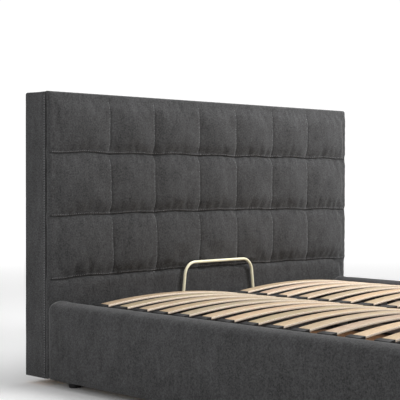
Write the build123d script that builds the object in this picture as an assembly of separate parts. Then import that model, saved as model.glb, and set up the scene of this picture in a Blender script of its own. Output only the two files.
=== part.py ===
from build123d import *
import os
from math import atan2, cos, degrees, hypot, radians, sin, sqrt

# Double bed with a stitched headboard and a sprung slat base that lifts off a storage box.
# X runs across the bed, Y from the foot (-) to the head (+), Z up; the floor is z = 0 and the
# origin is under the middle. Places along the bed are given as u, the distance from the
# headboard's edge seam towards the foot. All lengths are millimetres.

# Whole bed
headboard_width = 1800.0
headboard_height = 1130.0
headboard_side_reach = 100.0
bed_well_length = 2035.0
floor_gap = 30.0
fit_clearance = 0.05
seat_gap = 0.3
overrun = 5.0

# Headboard
headboard_back_depth = 127.0
headboard_corner_radius = 16.0
border_thickness = 10.0
border_edge_radius = 5.0
back_board_thickness = 3.0
back_board_inset = 2.0
front_board_thickness = 12.0
pad_behind_seam = 15.0
seam_proud = 21.0
cell_rise = 22.0
cell_edge_rise = 1.0
cell_root = 8.0
seam_groove = 3.0
pad_rim = 14.0
pad_front_radius = 12.0
plain_front = 27.0
column_pitch = 241.0
inner_columns = 5
plain_top_height = 406.0
top_row_share = 0.3218
rows = 3
cell_profile_shares = ((0.0, 0.0), (0.18, 0.72), (0.5, 1.0), (0.82, 0.72), (1.0, 0.0))
post_width = 80.0
post_inset = 25.0
edge_strip_width = 24.0
cross_rail_height = 70.0
lower_cross_rail_z = 340.0
middle_cross_rail_share = 0.535

# Side rails and footboard
rail_thickness = 108.0
rail_crown_height = 329.0
rail_crown_rise = 2.0
rail_side_bulge = 4.0
rail_edge_radius = 20.0
rail_lining = 3.0
rail_board_thickness = 24.0
rail_top_padding = 31.0
rail_head_gap = 3.0
footboard_end_radius = 20.0
footboard_end_cover = 20.0

# Corner brackets and their bolts
bracket_thickness = 3.0
bracket_leaf_length = 90.0
bracket_foot_leaf = 34.0
bracket_z = 95.0
bracket_top_room = 13.0
bolt_radius = 4.0
bolt_head_radius = 7.0
bolt_head_height = 5.0
bolt_length = 42.0
rail_bolt_length = 22.0
bolt_edge_share = 0.2
bolt_leaf_share = 0.32

# Storage box floor
floor_panel_thickness = 5.0
floor_panel_gap = 1.0
floor_panel_edge = 2.0
floor_height = 70.0
batten_width = 20.0
batten_height = 20.0
batten_end_gap = 40.0
floor_beam_width = 60.0

# Feet
foot_top_radius = 27.0
foot_base_radius = 22.0
foot_flange = 8.0
rail_foot_shares = (0.044, 0.496, 0.948)
beam_foot_shares = (0.206, 0.501, 0.796)
footboard_foot_share = 0.775

# Lifting base frame of steel tube
tube_height = 50.0
tube_width = 25.0
tube_wall = 1.5
cross_tube_height = 25.0
centre_tube_width = 40.0
frame_top = 298.0
frame_side_room = 40.0
frame_head_room = 5.0
frame_foot_room = 20.0
cross_tube_shares = (0.337, 0.67)
cap_thickness = 2.5
cap_plug_depth = 14.0

# Sprung slats and their holders
slat_count = 17
slat_width = 53.0
slat_thickness = 8.0
head_slat_room = 125.5
foot_slat_room = 86.94
slat_end_rise = 14.0
slat_arch = 24.5
slat_inner_x = 14.0
slat_side_overhang = 8.0
slat_slack = 0.15
holder_wall = 2.5
holder_lip = 2.5
holder_depth_outer = 28.0
holder_depth_inner = 18.0
holder_corner_radius = 3.0

# Mattress stop bar at the head end
stop_rod_radius = 6.0
stop_rise = 131.0
stop_half_width_top = 200.0
stop_half_width_foot = 216.0
stop_bend_radius = 58.0
stop_plate_length = 60.0
stop_plate_thickness = 4.0
stop_bolt_radius = 3.0
stop_bolt_head_radius = 5.0
stop_bolt_head_height = 4.0
stop_bolt_length = 16.0
stop_bolt_spacing = 42.0

# Lift mechanism, in the plane of u and z
lift_angle = 38.0
turning_point_u = 240.0
turning_point_rise = 212.0
bar_pivot_rise = 20.0
rear_bar_pivot_u = 280.0
bar_pivot_spacing = 90.0
rail_pivot_rise = 60.0
spring_pivot_u = 220.0
spring_pivot_rise = 40.0
spring_eye_share = 0.55
plate_thickness = 4.0
plate_height = 72.0
plate_margin = 30.0
lift_bar_height = 36.0
lift_bar_head_margin = 35.0
lift_bar_length = 330.0
lift_bar_bolt_shares = (0.24, 0.55, 0.74, 0.93)
lift_bar_bolt_length = 12.0
link_thickness = 5.0
link_half_width = 15.0
link_gap = 3.0
pin_radius = 5.0
pin_collar_radius = 9.0
pin_head_height = 2.2
running_gap = 0.1
plate_screw_radius = 3.0
plate_screw_head_radius = 5.5
plate_screw_head_height = 2.5
plate_screw_length = 20.0
plate_screw_shares = (0.04, 0.22, 0.4, 0.62, 0.96)
plate_screw_row_share = 0.82
spring_body_radius = 10.0
spring_wall = 1.5
spring_body_length = 205.0
spring_nose_length = 12.0
spring_rod_radius = 4.0
spring_piston_length = 12.0
spring_piston_room = 4.0
spring_eye_radius = 9.0
spring_eye_width = 12.0
spring_neck_radius = 5.0
spring_link_gap = 6.0

# Rests for the lifting base
rest_block_length = 70.0
rest_block_height = 46.0
rest_pad_thickness = 2.0
rest_shares = (0.501, 0.934)
rest_overlap = 20.0

# Values worked out from the sizes above
half_headboard = headboard_width / 2
half_well = half_headboard - headboard_side_reach
overall_length = headboard_back_depth + bed_well_length + rail_thickness
seam_y = overall_length / 2 - headboard_back_depth
board_front_u = -pad_behind_seam
board_back_u = board_front_u - front_board_thickness
frame_back_u = -headboard_back_depth + back_board_thickness
inner_half_headboard = half_headboard - border_thickness
inner_headboard_top = headboard_height - border_thickness
sewn_height = headboard_height - plain_top_height
first_seam_z = headboard_height - sewn_height * top_row_share
row_pitch = (first_seam_z - plain_top_height) / (rows - 1)
top_cross_rail_z = inner_headboard_top - cross_rail_height
middle_cross_rail_z = lower_cross_rail_z + (top_cross_rail_z - lower_cross_rail_z) * middle_cross_rail_share
post_centre_x = half_well - post_inset
rail_outer_x = half_well + rail_thickness
rail_head_u = plain_front + rail_head_gap
board_inner_x = half_well + rail_lining
board_centre_x = board_inner_x + rail_board_thickness / 2
board_top_z = rail_crown_height - rail_top_padding
bracket_height = board_top_z - bracket_top_room - bracket_z
frame_half_width = half_well - frame_side_room
frame_head_u = plain_front + frame_head_room
frame_foot_u = bed_well_length - frame_foot_room
frame_bottom = frame_top - tube_height
side_tube_inner_x = frame_half_width - tube_width
slat_outer_x = frame_half_width + slat_side_overhang
slat_mid_x = (slat_inner_x + slat_outer_x) / 2
slat_end_height = frame_top + slat_end_rise
first_slat_u = frame_head_u + head_slat_room
slat_pitch = (frame_foot_u - foot_slat_room - first_slat_u) / (slat_count - 1)
plate_inner_x = half_well - plate_thickness
link_outer_x = plate_inner_x - link_gap
link_inner_x = link_outer_x - link_thickness
bar_outer_x = frame_half_width + plate_thickness
stop_u = frame_head_u + tube_width / 2
stop_top_height = slat_end_height + stop_rise
bar_pivot_z = frame_bottom + bar_pivot_rise
turning_point_z = bar_pivot_z + turning_point_rise
rail_pivot_z = floor_height + rail_pivot_rise
spring_pivot_z = floor_height + spring_pivot_rise
spring_centre_x = link_inner_x - spring_link_gap - spring_eye_width / 2
nodes = {}


def along(u):
    """Y of a place that lies u towards the foot from the headboard's edge seam."""
    return seam_y - u


def places_along(shares):
    """Places along the bed, each at a share of the bed well's length."""
    return [bed_well_length * share for share in shares]


def block(x_low, x_high, u_low, u_high, z_low, z_high):
    """A rectangular solid between two corners, with its length given in u."""
    size = Box(x_high - x_low, u_high - u_low, z_high - z_low)
    return Pos((x_low + x_high) / 2, along((u_low + u_high) / 2), (z_low + z_high) / 2) * size


def across(x_low, x_high, u, z, radius):
    """A cylinder that runs across the bed from one x to another."""
    start = min(x_low, x_high)
    disc = Plane(origin=(start, along(u), z), z_dir=(1, 0, 0)) * Circle(radius)
    return extrude(disc, abs(x_high - x_low))


def upright(x, u, z_low, z_high, radius):
    """A cylinder that stands up from one height to another."""
    disc = Plane(origin=(x, along(u), z_low), z_dir=(0, 0, 1)) * Circle(radius)
    return extrude(disc, z_high - z_low)


def other_side(shape):
    """The same piece on the other long side of the bed."""
    return mirror(shape, about=Plane.YZ)


def keep(name, *solids):
    """Store one node, made of one solid or a group of separate ones."""
    nodes[name] = solids[0] if len(solids) == 1 else Compound(children=list(solids))


def keep_sides(name, *right_solids):
    """Store the right-hand piece and its mirrored left-hand twin as two nodes."""
    keep(name + "_right", *right_solids)
    keep(name + "_left", *[other_side(solid) for solid in right_solids])


def hex_bolt(start, direction, radius, head_radius, head_height, length):
    """A hexagon bolt whose head sits on start and whose shank runs along direction."""
    plane = Plane(origin=start, z_dir=direction)
    shank = extrude(plane * Circle(radius), length)
    head = extrude(plane * RegularPolygon(head_radius, 6), -head_height)
    return shank + head


def bolt_hole(start, direction, radius, length):
    """The running hole that a bolt's shank needs, with an overrun at the head end."""
    plane = Plane(origin=start, z_dir=direction).offset(-overrun)
    return extrude(plane * Circle(radius + fit_clearance), length + overrun + fit_clearance)


# Lift geometry
def turned(angle, arm):
    """An arm in u and z turned by an angle in degrees, foot end upwards."""
    turn = radians(angle)
    return (cos(turn) * arm[0] - sin(turn) * arm[1], sin(turn) * arm[0] + cos(turn) * arm[1])


def rail_pivot(bar_pivot):
    """The rail's pivot for a link: on the line that halves the bar pivot's turn, at its set height."""
    arm = (bar_pivot[0] - turning_point_u, bar_pivot[1] - turning_point_z)
    halfway = turned(lift_angle / 2, arm)
    reach = (rail_pivot_z - turning_point_z) / halfway[1]
    return (turning_point_u + reach * halfway[0], rail_pivot_z)


def link_turn(base_pivot, bar_pivot):
    """How far a link turns, in degrees, while the base goes from closed to fully lifted."""
    arm = (bar_pivot[0] - turning_point_u, bar_pivot[1] - turning_point_z)
    lifted_arm = turned(lift_angle, arm)
    lifted = (turning_point_u + lifted_arm[0], turning_point_z + lifted_arm[1])
    end = atan2(lifted[1] - base_pivot[1], lifted[0] - base_pivot[0])
    start = atan2(bar_pivot[1] - base_pivot[1], bar_pivot[0] - base_pivot[0])
    return degrees(end - start)


rear_bar_pivot = (rear_bar_pivot_u, bar_pivot_z)
front_bar_pivot = (rear_bar_pivot_u + bar_pivot_spacing, bar_pivot_z)
rear_rail_pivot = rail_pivot(rear_bar_pivot)
front_rail_pivot = rail_pivot(front_bar_pivot)
rear_turn = link_turn(rear_rail_pivot, rear_bar_pivot)
front_turn = link_turn(front_rail_pivot, front_bar_pivot)
spring_pivot = (spring_pivot_u, spring_pivot_z)
eye_arm = tuple(spring_eye_share * (b - a) for a, b in zip(front_rail_pivot, front_bar_pivot))
eye_pivot = (front_rail_pivot[0] + eye_arm[0], front_rail_pivot[1] + eye_arm[1])
lifted_eye_arm = turned(front_turn, eye_arm)
lifted_eye = (front_rail_pivot[0] + lifted_eye_arm[0], front_rail_pivot[1] + lifted_eye_arm[1])
spring_closed = hypot(eye_pivot[0] - spring_pivot[0], eye_pivot[1] - spring_pivot[1])
spring_open = hypot(lifted_eye[0] - spring_pivot[0], lifted_eye[1] - spring_pivot[1])
spring_rest_angle = atan2(eye_pivot[1] - spring_pivot[1], eye_pivot[0] - spring_pivot[0])
spring_open_angle = atan2(lifted_eye[1] - spring_pivot[1], lifted_eye[0] - spring_pivot[0])


# Headboard
def rounded_panel(half_width, top, radius, u_low, u_high):
    """An upright panel from the floor gap to its top, with rounded top corners."""
    panel = block(-half_width, half_width, u_low, u_high, floor_gap, top)
    return fillet(panel.edges().filter_by(Axis.Y).group_by(Axis.Z)[-1], radius)


def cell(x_low, x_high, z_low, z_high):
    """One padded square: crowned in the middle and drawn in to its seams."""
    sections = []
    seam = along(seam_proud)
    for place_share, rise_share in cell_profile_shares:
        z = z_low + (z_high - z_low) * place_share
        rise = cell_edge_rise + (cell_rise - cell_edge_rise) * rise_share
        root = along(seam_proud - cell_root)
        crown = ((x_low + x_high) / 2, seam - rise, z)
        edges = [
            Line((x_low, root, z), (x_high, root, z)),
            Line((x_high, root, z), (x_high, seam, z)),
            ThreePointArc((x_high, seam, z), crown, (x_low, seam, z)),
            Line((x_low, seam, z), (x_low, root, z)),
        ]
        sections.append(Face(Wire(edges)))
    return loft(sections)


def column_edges():
    """The left and right edge of each column of cells, clear of the seam grooves."""
    seams = [(i - inner_columns / 2) * column_pitch for i in range(inner_columns + 1)]
    borders = [-half_headboard + pad_rim - seam_groove / 2] + seams
    borders.append(half_headboard - pad_rim + seam_groove / 2)
    return [(a + seam_groove / 2, b - seam_groove / 2) for a, b in zip(borders, borders[1:])]


def row_edges():
    """The lower and upper edge of each row of cells, clear of the seam grooves."""
    borders = [headboard_height - pad_rim + seam_groove / 2]
    borders += [first_seam_z - i * row_pitch for i in range(rows)]
    return [(b + seam_groove / 2, a - seam_groove / 2) for a, b in zip(borders, borders[1:])]


bracket_bolt_heights = [bracket_z + bracket_height * share for share in (bolt_edge_share, 1 - bolt_edge_share)]
bracket_bolt_x = half_well - bracket_thickness - (bracket_foot_leaf - bracket_thickness) * bolt_leaf_share


def headboard():
    """The timber frame, boards, padded front, border and back of the headboard."""
    lip = rounded_panel(half_headboard, headboard_height, headboard_corner_radius, 0, seam_proud)
    front_edges = [e for e in lip.faces().sort_by(Axis.Y)[0].edges() if e.center().Z > floor_gap + overrun]
    pad = fillet(front_edges, pad_front_radius)
    pad += rounded_panel(inner_half_headboard, inner_headboard_top, headboard_corner_radius, -pad_behind_seam, 0)
    plain = block(-half_headboard + pad_rim, half_headboard - pad_rim, seam_proud - cell_root, plain_front,
                  floor_gap, plain_top_height - seam_groove / 2)
    pad += plain
    for x_low, x_high in column_edges():
        for z_low, z_high in row_edges():
            pad += cell(x_low, x_high, z_low, z_high)
    board = rounded_panel(inner_half_headboard, inner_headboard_top, headboard_corner_radius,
                          board_back_u, board_front_u)
    posts = []
    for side in (-1, 1):
        centre = side * post_centre_x
        posts.append(block(centre - post_width / 2, centre + post_width / 2, frame_back_u, board_back_u,
                           floor_gap, top_cross_rail_z))
    for side in (-1, 1):
        start = bracket_thickness + plain_front
        for z in bracket_bolt_heights:
            hole = bolt_hole((side * bracket_bolt_x, along(start), z), (0, 1, 0), bolt_radius,
                             bolt_length + overrun)
            pad -= hole
            board -= hole
            posts = [post - hole for post in posts]
    keep("headboard_padded_front", pad)
    keep("headboard_front_board", board)
    keep("headboard_posts", *posts)
    strip_x = inner_half_headboard - edge_strip_width
    strips = [block(strip_x, inner_half_headboard, frame_back_u, board_back_u, floor_gap, top_cross_rail_z)]
    strips.append(other_side(strips[0]))
    keep("headboard_edge_strips", *strips)
    inner_post_x = post_centre_x - post_width / 2
    cross_rails = [block(-inner_post_x, inner_post_x, frame_back_u, board_back_u, z, z + cross_rail_height)
                   for z in (floor_gap, lower_cross_rail_z, middle_cross_rail_z)]
    top_rail = rounded_panel(inner_half_headboard, inner_headboard_top, headboard_corner_radius,
                             frame_back_u, board_back_u)
    top_rail &= block(-half_headboard, half_headboard, frame_back_u, board_back_u,
                      top_cross_rail_z, headboard_height)
    keep("headboard_cross_rails", *cross_rails, top_rail)
    outer = rounded_panel(half_headboard, headboard_height, headboard_corner_radius, -headboard_back_depth, 0)
    rim_edges = outer.faces().sort_by(Axis.Y)[0].edges() + outer.faces().sort_by(Axis.Y)[-1].edges()
    rim_edges = [e for e in rim_edges if e.center().Z > floor_gap + overrun]
    border = fillet(rim_edges, border_edge_radius)
    border -= rounded_panel(inner_half_headboard, inner_headboard_top, headboard_corner_radius,
                            -headboard_back_depth - overrun, overrun)
    keep("headboard_border", border)
    back = rounded_panel(inner_half_headboard - back_board_inset, inner_headboard_top - back_board_inset,
                         headboard_corner_radius, -headboard_back_depth, frame_back_u)
    keep("headboard_back_board", back)


# Side rails and footboard
def padded_section(place, bottom):
    """The rounded outline of a padded rail; place turns depth and height into a point."""
    side = rail_thickness - rail_side_bulge
    shoulder = rail_crown_height - rail_crown_rise
    corner = rail_edge_radius * (1 - sqrt(2) / 2)
    low = shoulder - rail_edge_radius
    return Face(Wire([
        Line(place(0, bottom), place(side, bottom)),
        ThreePointArc(place(side, bottom), place(rail_thickness, (bottom + low) / 2), place(side, low)),
        ThreePointArc(place(side, low), place(side - corner, shoulder - corner),
                      place(side - rail_edge_radius, shoulder)),
        ThreePointArc(place(side - rail_edge_radius, shoulder), place(side / 2, rail_crown_height),
                      place(rail_edge_radius, shoulder)),
        ThreePointArc(place(rail_edge_radius, shoulder), place(corner, shoulder - corner), place(0, low)),
        Line(place(0, low), place(0, bottom)),
    ]))


def plate_ends():
    """Where the rail plate of the lift mechanism starts and ends along the bed."""
    return spring_pivot_u - plate_margin, front_rail_pivot[0] + plate_margin


plate_bottom = spring_pivot_z - (plate_height - (rail_pivot_z - spring_pivot_z)) / 2
screw_heights = [plate_bottom + plate_height * share for share in (1 - plate_screw_row_share, plate_screw_row_share)]


def plate_screw_places():
    """Each screw of a rail plate, in u and z: one row along its top edge, and one at each lower corner."""
    start, end = plate_ends()
    upper = [(start + (end - start) * share, screw_heights[1]) for share in plate_screw_shares]
    lower = [(start + (end - start) * share, screw_heights[0]) for share in plate_screw_shares[::4]]
    return upper + lower


def rail_bolt_places():
    """Each bolt of the corner brackets that goes into a side rail, in u and z."""
    head_u = rail_head_u + bracket_leaf_length * (1 - bolt_leaf_share)
    foot_u = bed_well_length - bracket_leaf_length * (1 - bolt_leaf_share)
    return [(u, z) for u in (head_u, foot_u) for z in bracket_bolt_heights]


def side_rails():
    """The padded side rails with their boards, drilled for brackets and lift plates."""
    def place(depth, z):
        return (half_well + depth, along(bed_well_length - seat_gap), z)

    length = bed_well_length - seat_gap - rail_head_u
    pad = extrude(padded_section(place, floor_gap), length, dir=(0, 1, 0))
    board = block(board_inner_x, board_inner_x + rail_board_thickness, rail_head_u,
                  bed_well_length - seat_gap, floor_gap, board_top_z)
    pad -= block(board_inner_x, board_inner_x + rail_board_thickness, rail_head_u - overrun,
                 bed_well_length + overrun, floor_gap - overrun, board_top_z)
    for u, z in plate_screw_places():
        hole = bolt_hole((plate_inner_x, along(u), z), (1, 0, 0), plate_screw_radius, plate_screw_length)
        pad -= hole
        board -= hole
    for u, z in rail_bolt_places():
        hole = bolt_hole((half_well - bracket_thickness, along(u), z), (1, 0, 0), bolt_radius, rail_bolt_length)
        pad -= hole
        board -= hole
    keep_sides("side_rail_padding", pad)
    keep_sides("side_rail_board", board)


def footboard():
    """The low padded footboard with its board."""
    def place(depth, z):
        return (-rail_outer_x, along(bed_well_length + depth), z)

    pad = extrude(padded_section(place, floor_gap), 2 * rail_outer_x, dir=(1, 0, 0))
    ends = block(-rail_outer_x, rail_outer_x, bed_well_length - overrun, bed_well_length + rail_thickness + overrun,
                 floor_gap, rail_crown_height)
    pad &= fillet(ends.edges().filter_by(Axis.Y).group_by(Axis.Z)[-1], footboard_end_radius)
    half_board = rail_outer_x - footboard_end_cover
    board_u = bed_well_length + rail_lining
    board = block(-half_board, half_board, board_u, board_u + rail_board_thickness, floor_gap, board_top_z)
    pad -= block(-half_board, half_board, board_u, board_u + rail_board_thickness, floor_gap - overrun,
                 board_top_z)
    for side in (-1, 1):
        for z in bracket_bolt_heights:
            hole = bolt_hole((side * bracket_bolt_x, along(bed_well_length - bracket_thickness), z), (0, -1, 0),
                             bolt_radius, rail_bolt_length)
            pad -= hole
            board -= hole
    keep("footboard_padding", pad)
    keep("footboard_board", board)


# Corner brackets
def corner_brackets():
    """Four bent steel angles that tie the side rails to the headboard and the footboard, and their bolts."""
    brackets = []
    bolts = []
    for end_u, inward in ((plain_front, 1), (bed_well_length, -1)):
        leaf_end = end_u + inward * (bracket_leaf_length + rail_head_gap)
        rail_leaf = block(half_well - bracket_thickness, half_well, min(end_u, leaf_end), max(end_u, leaf_end),
                          bracket_z, bracket_z + bracket_height)
        face_u = end_u + inward * bracket_thickness
        end_leaf = block(half_well - bracket_foot_leaf, half_well, min(end_u, face_u), max(end_u, face_u),
                         bracket_z, bracket_z + bracket_height)
        bracket = rail_leaf + end_leaf
        for z in bracket_bolt_heights:
            start = (bracket_bolt_x, along(face_u), z)
            length = bolt_length if inward > 0 else rail_bolt_length
            bracket -= bolt_hole(start, (0, inward, 0), bolt_radius, length)
            bolts.append(hex_bolt(start, (0, inward, 0), bolt_radius, bolt_head_radius, bolt_head_height, length))
        for u, z in rail_bolt_places():
            start = (half_well - bracket_thickness, along(u), z)
            if abs(u - end_u) < 2 * bracket_leaf_length:
                bracket -= bolt_hole(start, (1, 0, 0), bolt_radius, rail_bolt_length)
                bolts.append(hex_bolt(start, (1, 0, 0), bolt_radius, bolt_head_radius, bolt_head_height,
                                      rail_bolt_length))
        brackets.append(bracket)
    for name, bracket in zip(("head", "foot"), brackets):
        keep_sides("corner_bracket_" + name, bracket)
    keep("corner_bolts", *bolts, *[other_side(bolt) for bolt in bolts])


# Storage box floor
def storage_floor():
    """Four floor panels on a middle beam and on battens round the box."""
    panel_end = half_well - floor_panel_edge
    head_u = plain_front + floor_panel_edge
    foot_u = bed_well_length - floor_panel_edge
    middle_u = (head_u + foot_u) / 2
    half_gap = floor_panel_gap / 2
    top = floor_height + floor_panel_thickness
    for name, low, high in (("head", head_u, middle_u - half_gap), ("foot", middle_u + half_gap, foot_u)):
        keep_sides("storage_floor_" + name, block(half_gap, panel_end, low, high, floor_height, top))
    beam = block(-floor_beam_width / 2, floor_beam_width / 2, plain_front, bed_well_length, floor_gap, floor_height)
    keep("floor_middle_beam", beam)
    batten_low = floor_height - batten_height
    side_batten = block(half_well - batten_width, half_well, plain_front + batten_end_gap,
                        bed_well_length - batten_end_gap, batten_low, floor_height)
    battens = [side_batten, other_side(side_batten)]
    for low in (plain_front, bed_well_length - batten_width):
        for side in (-1, 1):
            ends = sorted((side * (floor_beam_width / 2 + overrun), side * (half_well - batten_end_gap)))
            battens.append(block(*ends, low, low + batten_width, batten_low, floor_height))
    keep("floor_battens", *battens)


# Feet
def foot(x, u):
    """One turned plastic foot with a flange under the timber that it carries."""
    top = upright(x, u, floor_gap - foot_flange, floor_gap, foot_top_radius)
    lower = Cone(foot_base_radius, foot_top_radius, floor_gap - foot_flange)
    body = Pos(x, along(u), (floor_gap - foot_flange) / 2) * lower + top
    return body


def feet():
    """The feet under the rails, the ends and the floor beam."""
    rail_feet = [foot(board_centre_x + foot_top_radius / 2, u) for u in places_along(rail_foot_shares)]
    keep("side_rail_feet", *rail_feet, *[other_side(f) for f in rail_feet])
    headboard_foot_u = (frame_back_u + board_back_u) / 2
    keep("headboard_feet", *[foot(side * post_centre_x, headboard_foot_u) for side in (-1, 1)])
    footboard_u = bed_well_length + rail_lining + rail_board_thickness / 2 + foot_top_radius / 2
    keep("footboard_feet", *[foot(side * half_well * footboard_foot_share, footboard_u) for side in (-1, 1)])
    keep("floor_beam_feet", *[foot(0, u) for u in places_along(beam_foot_shares)])


# Lifting base frame
def tube_along(x_low, x_high, u_low, u_high, z_low, z_high):
    """A rectangular steel tube that runs along the bed, open at both ends."""
    bore = block(x_low + tube_wall, x_high - tube_wall, u_low - overrun, u_high + overrun,
                 z_low + tube_wall, z_high - tube_wall)
    return block(x_low, x_high, u_low, u_high, z_low, z_high) - bore


def tube_across(x_low, x_high, u_low, u_high, z_low, z_high):
    """A rectangular steel tube that runs across the bed, its ends closed by what it is welded to."""
    bore = block(x_low, x_high, u_low + tube_wall, u_high - tube_wall, z_low + tube_wall, z_high - tube_wall)
    return block(x_low, x_high, u_low, u_high, z_low, z_high) - bore


def stop_bolt_places():
    """Each bolt that fastens the stop bar's two foot plates to the head tube, in x."""
    half = stop_bolt_spacing / 2
    return [side * (stop_half_width_foot + offset) for side in (-1, 1) for offset in (-half, half)]


def bar_bolt_places():
    """Each bolt that fastens a lift bar to its side tube, in u."""
    start = rear_bar_pivot_u - lift_bar_head_margin
    return [start + lift_bar_length * share for share in lift_bar_bolt_shares]


def base_frame():
    """The welded tube frame that carries the slats, with its plastic end caps."""
    right = tube_along(side_tube_inner_x, frame_half_width, frame_head_u, frame_foot_u, frame_bottom, frame_top)
    frame = right + other_side(right)
    half_centre = centre_tube_width / 2
    foot_tube_u = frame_foot_u - tube_width
    for low in (frame_head_u, foot_tube_u):
        frame += tube_across(-side_tube_inner_x, side_tube_inner_x, low, low + tube_width, frame_bottom, frame_top)
    frame += tube_along(-half_centre, half_centre, frame_head_u + tube_width, foot_tube_u, frame_bottom, frame_top)
    for share in cross_tube_shares:
        middle = frame_head_u + (frame_foot_u - frame_head_u) * share
        for side in (-1, 1):
            ends = sorted((side * half_centre, side * side_tube_inner_x))
            frame += tube_across(*ends, middle - tube_width / 2, middle + tube_width / 2, frame_bottom,
                                 frame_bottom + cross_tube_height)
    for x in stop_bolt_places():
        frame -= bolt_hole((x, along(stop_u), frame_top + stop_plate_thickness), (0, 0, -1), stop_bolt_radius,
                           stop_bolt_length)
    for side in (-1, 1):
        for u in bar_bolt_places():
            frame -= bolt_hole((side * bar_outer_x, along(u), bar_pivot_z), (-side, 0, 0), stop_bolt_radius,
                               lift_bar_bolt_length)
    keep("base_frame", frame)
    caps = []
    for end_u, outward in ((frame_head_u, -1), (frame_foot_u, 1)):
        face = sorted((end_u, end_u + outward * cap_thickness))
        plug = sorted((end_u, end_u - outward * cap_plug_depth))
        inset = tube_wall + fit_clearance
        cap = block(side_tube_inner_x, frame_half_width, *face, frame_bottom, frame_top)
        cap += block(side_tube_inner_x + inset, frame_half_width - inset, *plug, frame_bottom + inset,
                     frame_top - inset)
        caps += [cap, other_side(cap)]
    keep("frame_end_caps", *caps)


# Sprung slats and holders
def slat_band(u_middle, width, slack, x_low, x_high):
    """A strip bent to the slat's arc, grown all round by a slack."""
    half_chord = (slat_outer_x - slat_inner_x) / 2
    radius = (half_chord ** 2 + slat_arch ** 2) / (2 * slat_arch)
    centre_z = slat_end_height + slat_arch - radius
    top = radius + slack
    low = radius - slat_thickness - slack

    def point(x, reach):
        return (x, along(u_middle - width / 2), centre_z + sqrt(reach ** 2 - (x - slat_mid_x) ** 2))

    x_middle = (x_low + x_high) / 2
    edges = [
        ThreePointArc(point(x_low, top), point(x_middle, top), point(x_high, top)),
        Line(point(x_high, top), point(x_high, low)),
        ThreePointArc(point(x_high, low), point(x_middle, low), point(x_low, low)),
        Line(point(x_low, low), point(x_low, top)),
    ]
    return extrude(Face(Wire(edges)), width, dir=(0, -1, 0))


def slat(u_middle):
    """One laminated birch slat of the right-hand column."""
    return slat_band(u_middle, slat_width, 0, slat_inner_x, slat_outer_x)


def slat_places():
    """The middle of each slat along the bed."""
    return [first_slat_u + i * slat_pitch for i in range(slat_count)]


def holder(u_middle, x_low, x_high, slat_low, slat_high):
    """A plastic pocket on a tube, open towards the slat that it holds."""
    half = slat_width / 2 + holder_wall
    top = slat_end_height + slat_thickness / 2 + holder_lip
    body = block(x_low, x_high, u_middle - half, u_middle + half, frame_top, top)
    body = fillet(body.edges().filter_by(Axis.Z), holder_corner_radius)
    for low, high in ((slat_low, slat_high), (-slat_high, -slat_low)):
        if x_low < high and x_high > low:
            pocket = slat_band(u_middle, slat_width + 2 * slat_slack, slat_slack, slat_low - slat_slack,
                               slat_high + slat_slack)
            body -= pocket if low >= 0 else other_side(pocket)
    return body


def slats():
    """Two columns of sprung slats with their side and middle holders."""
    places = slat_places()
    first = slat(places[0])
    side_holder = holder(places[0], slat_outer_x + holder_wall - holder_depth_outer, slat_outer_x + holder_wall,
                         slat_inner_x, slat_outer_x)
    reach = slat_inner_x + holder_depth_inner
    middle_holder = holder(places[0], -reach, reach, slat_inner_x, slat_outer_x)
    steps = [Pos(0, -i * slat_pitch, 0) for i in range(slat_count)]
    keep_sides("slats", *[step * first for step in steps])
    keep_sides("side_slat_holders", *[step * side_holder for step in steps])
    keep("middle_slat_holders", *[step * middle_holder for step in steps])


# Mattress stop bar
def mattress_stop():
    """The bent round bar at the head end, its foot plates and bolts."""
    plate_top = frame_top + stop_plate_thickness
    below = plate_top - stop_rod_radius
    lean = (stop_half_width_foot - stop_half_width_top) / (stop_top_height - plate_top)
    foot_x = stop_half_width_foot + lean * stop_rod_radius
    points = [(-foot_x, below), (-stop_half_width_top, stop_top_height),
              (stop_half_width_top, stop_top_height), (foot_x, below)]
    path = FilletPolyline(*[(x, along(stop_u), z) for x, z in points], radius=stop_bend_radius)
    start = Plane(origin=path @ 0, z_dir=path % 0)
    rod = sweep(start * Circle(stop_rod_radius), path=path)
    reach = stop_half_width_foot + stop_bend_radius
    rod -= block(-reach, reach, stop_u - stop_bend_radius, stop_u + stop_bend_radius, frame_bottom, plate_top)
    plates = []
    for side in (-1, 1):
        middle = side * stop_half_width_foot
        plates.append(block(middle - stop_plate_length / 2, middle + stop_plate_length / 2, frame_head_u,
                            frame_head_u + tube_width, frame_top, plate_top))
    bolts = []
    for x in stop_bolt_places():
        start = (x, along(stop_u), plate_top)
        plates = [plate - bolt_hole(start, (0, 0, -1), stop_bolt_radius, stop_bolt_length) for plate in plates]
        bolts.append(hex_bolt(start, (0, 0, -1), stop_bolt_radius, stop_bolt_head_radius, stop_bolt_head_height,
                              stop_bolt_length))
    keep("mattress_stop_bar", rod)
    keep("mattress_stop_plates", *plates)
    keep("mattress_stop_bolts", *bolts)


# Lift mechanism
def link(lower, upper, holes):
    """A flat steel link with round ends between two pivots, in its own layer."""
    turn = atan2(upper[1] - lower[1], upper[0] - lower[0])
    length = hypot(upper[0] - lower[0], upper[1] - lower[1])
    plane = Plane(origin=(link_inner_x, along(lower[0]), lower[1]), x_dir=(0, -cos(turn), sin(turn)),
                  z_dir=(1, 0, 0))
    middle = Pos(length / 2, 0) * SlotCenterToCenter(length, 2 * link_half_width)
    bar = extrude(plane * middle, link_thickness)
    for u, z in holes:
        bar -= across(link_inner_x - overrun, link_outer_x + overrun, u, z, pin_radius + fit_clearance)
    return bar


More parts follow.
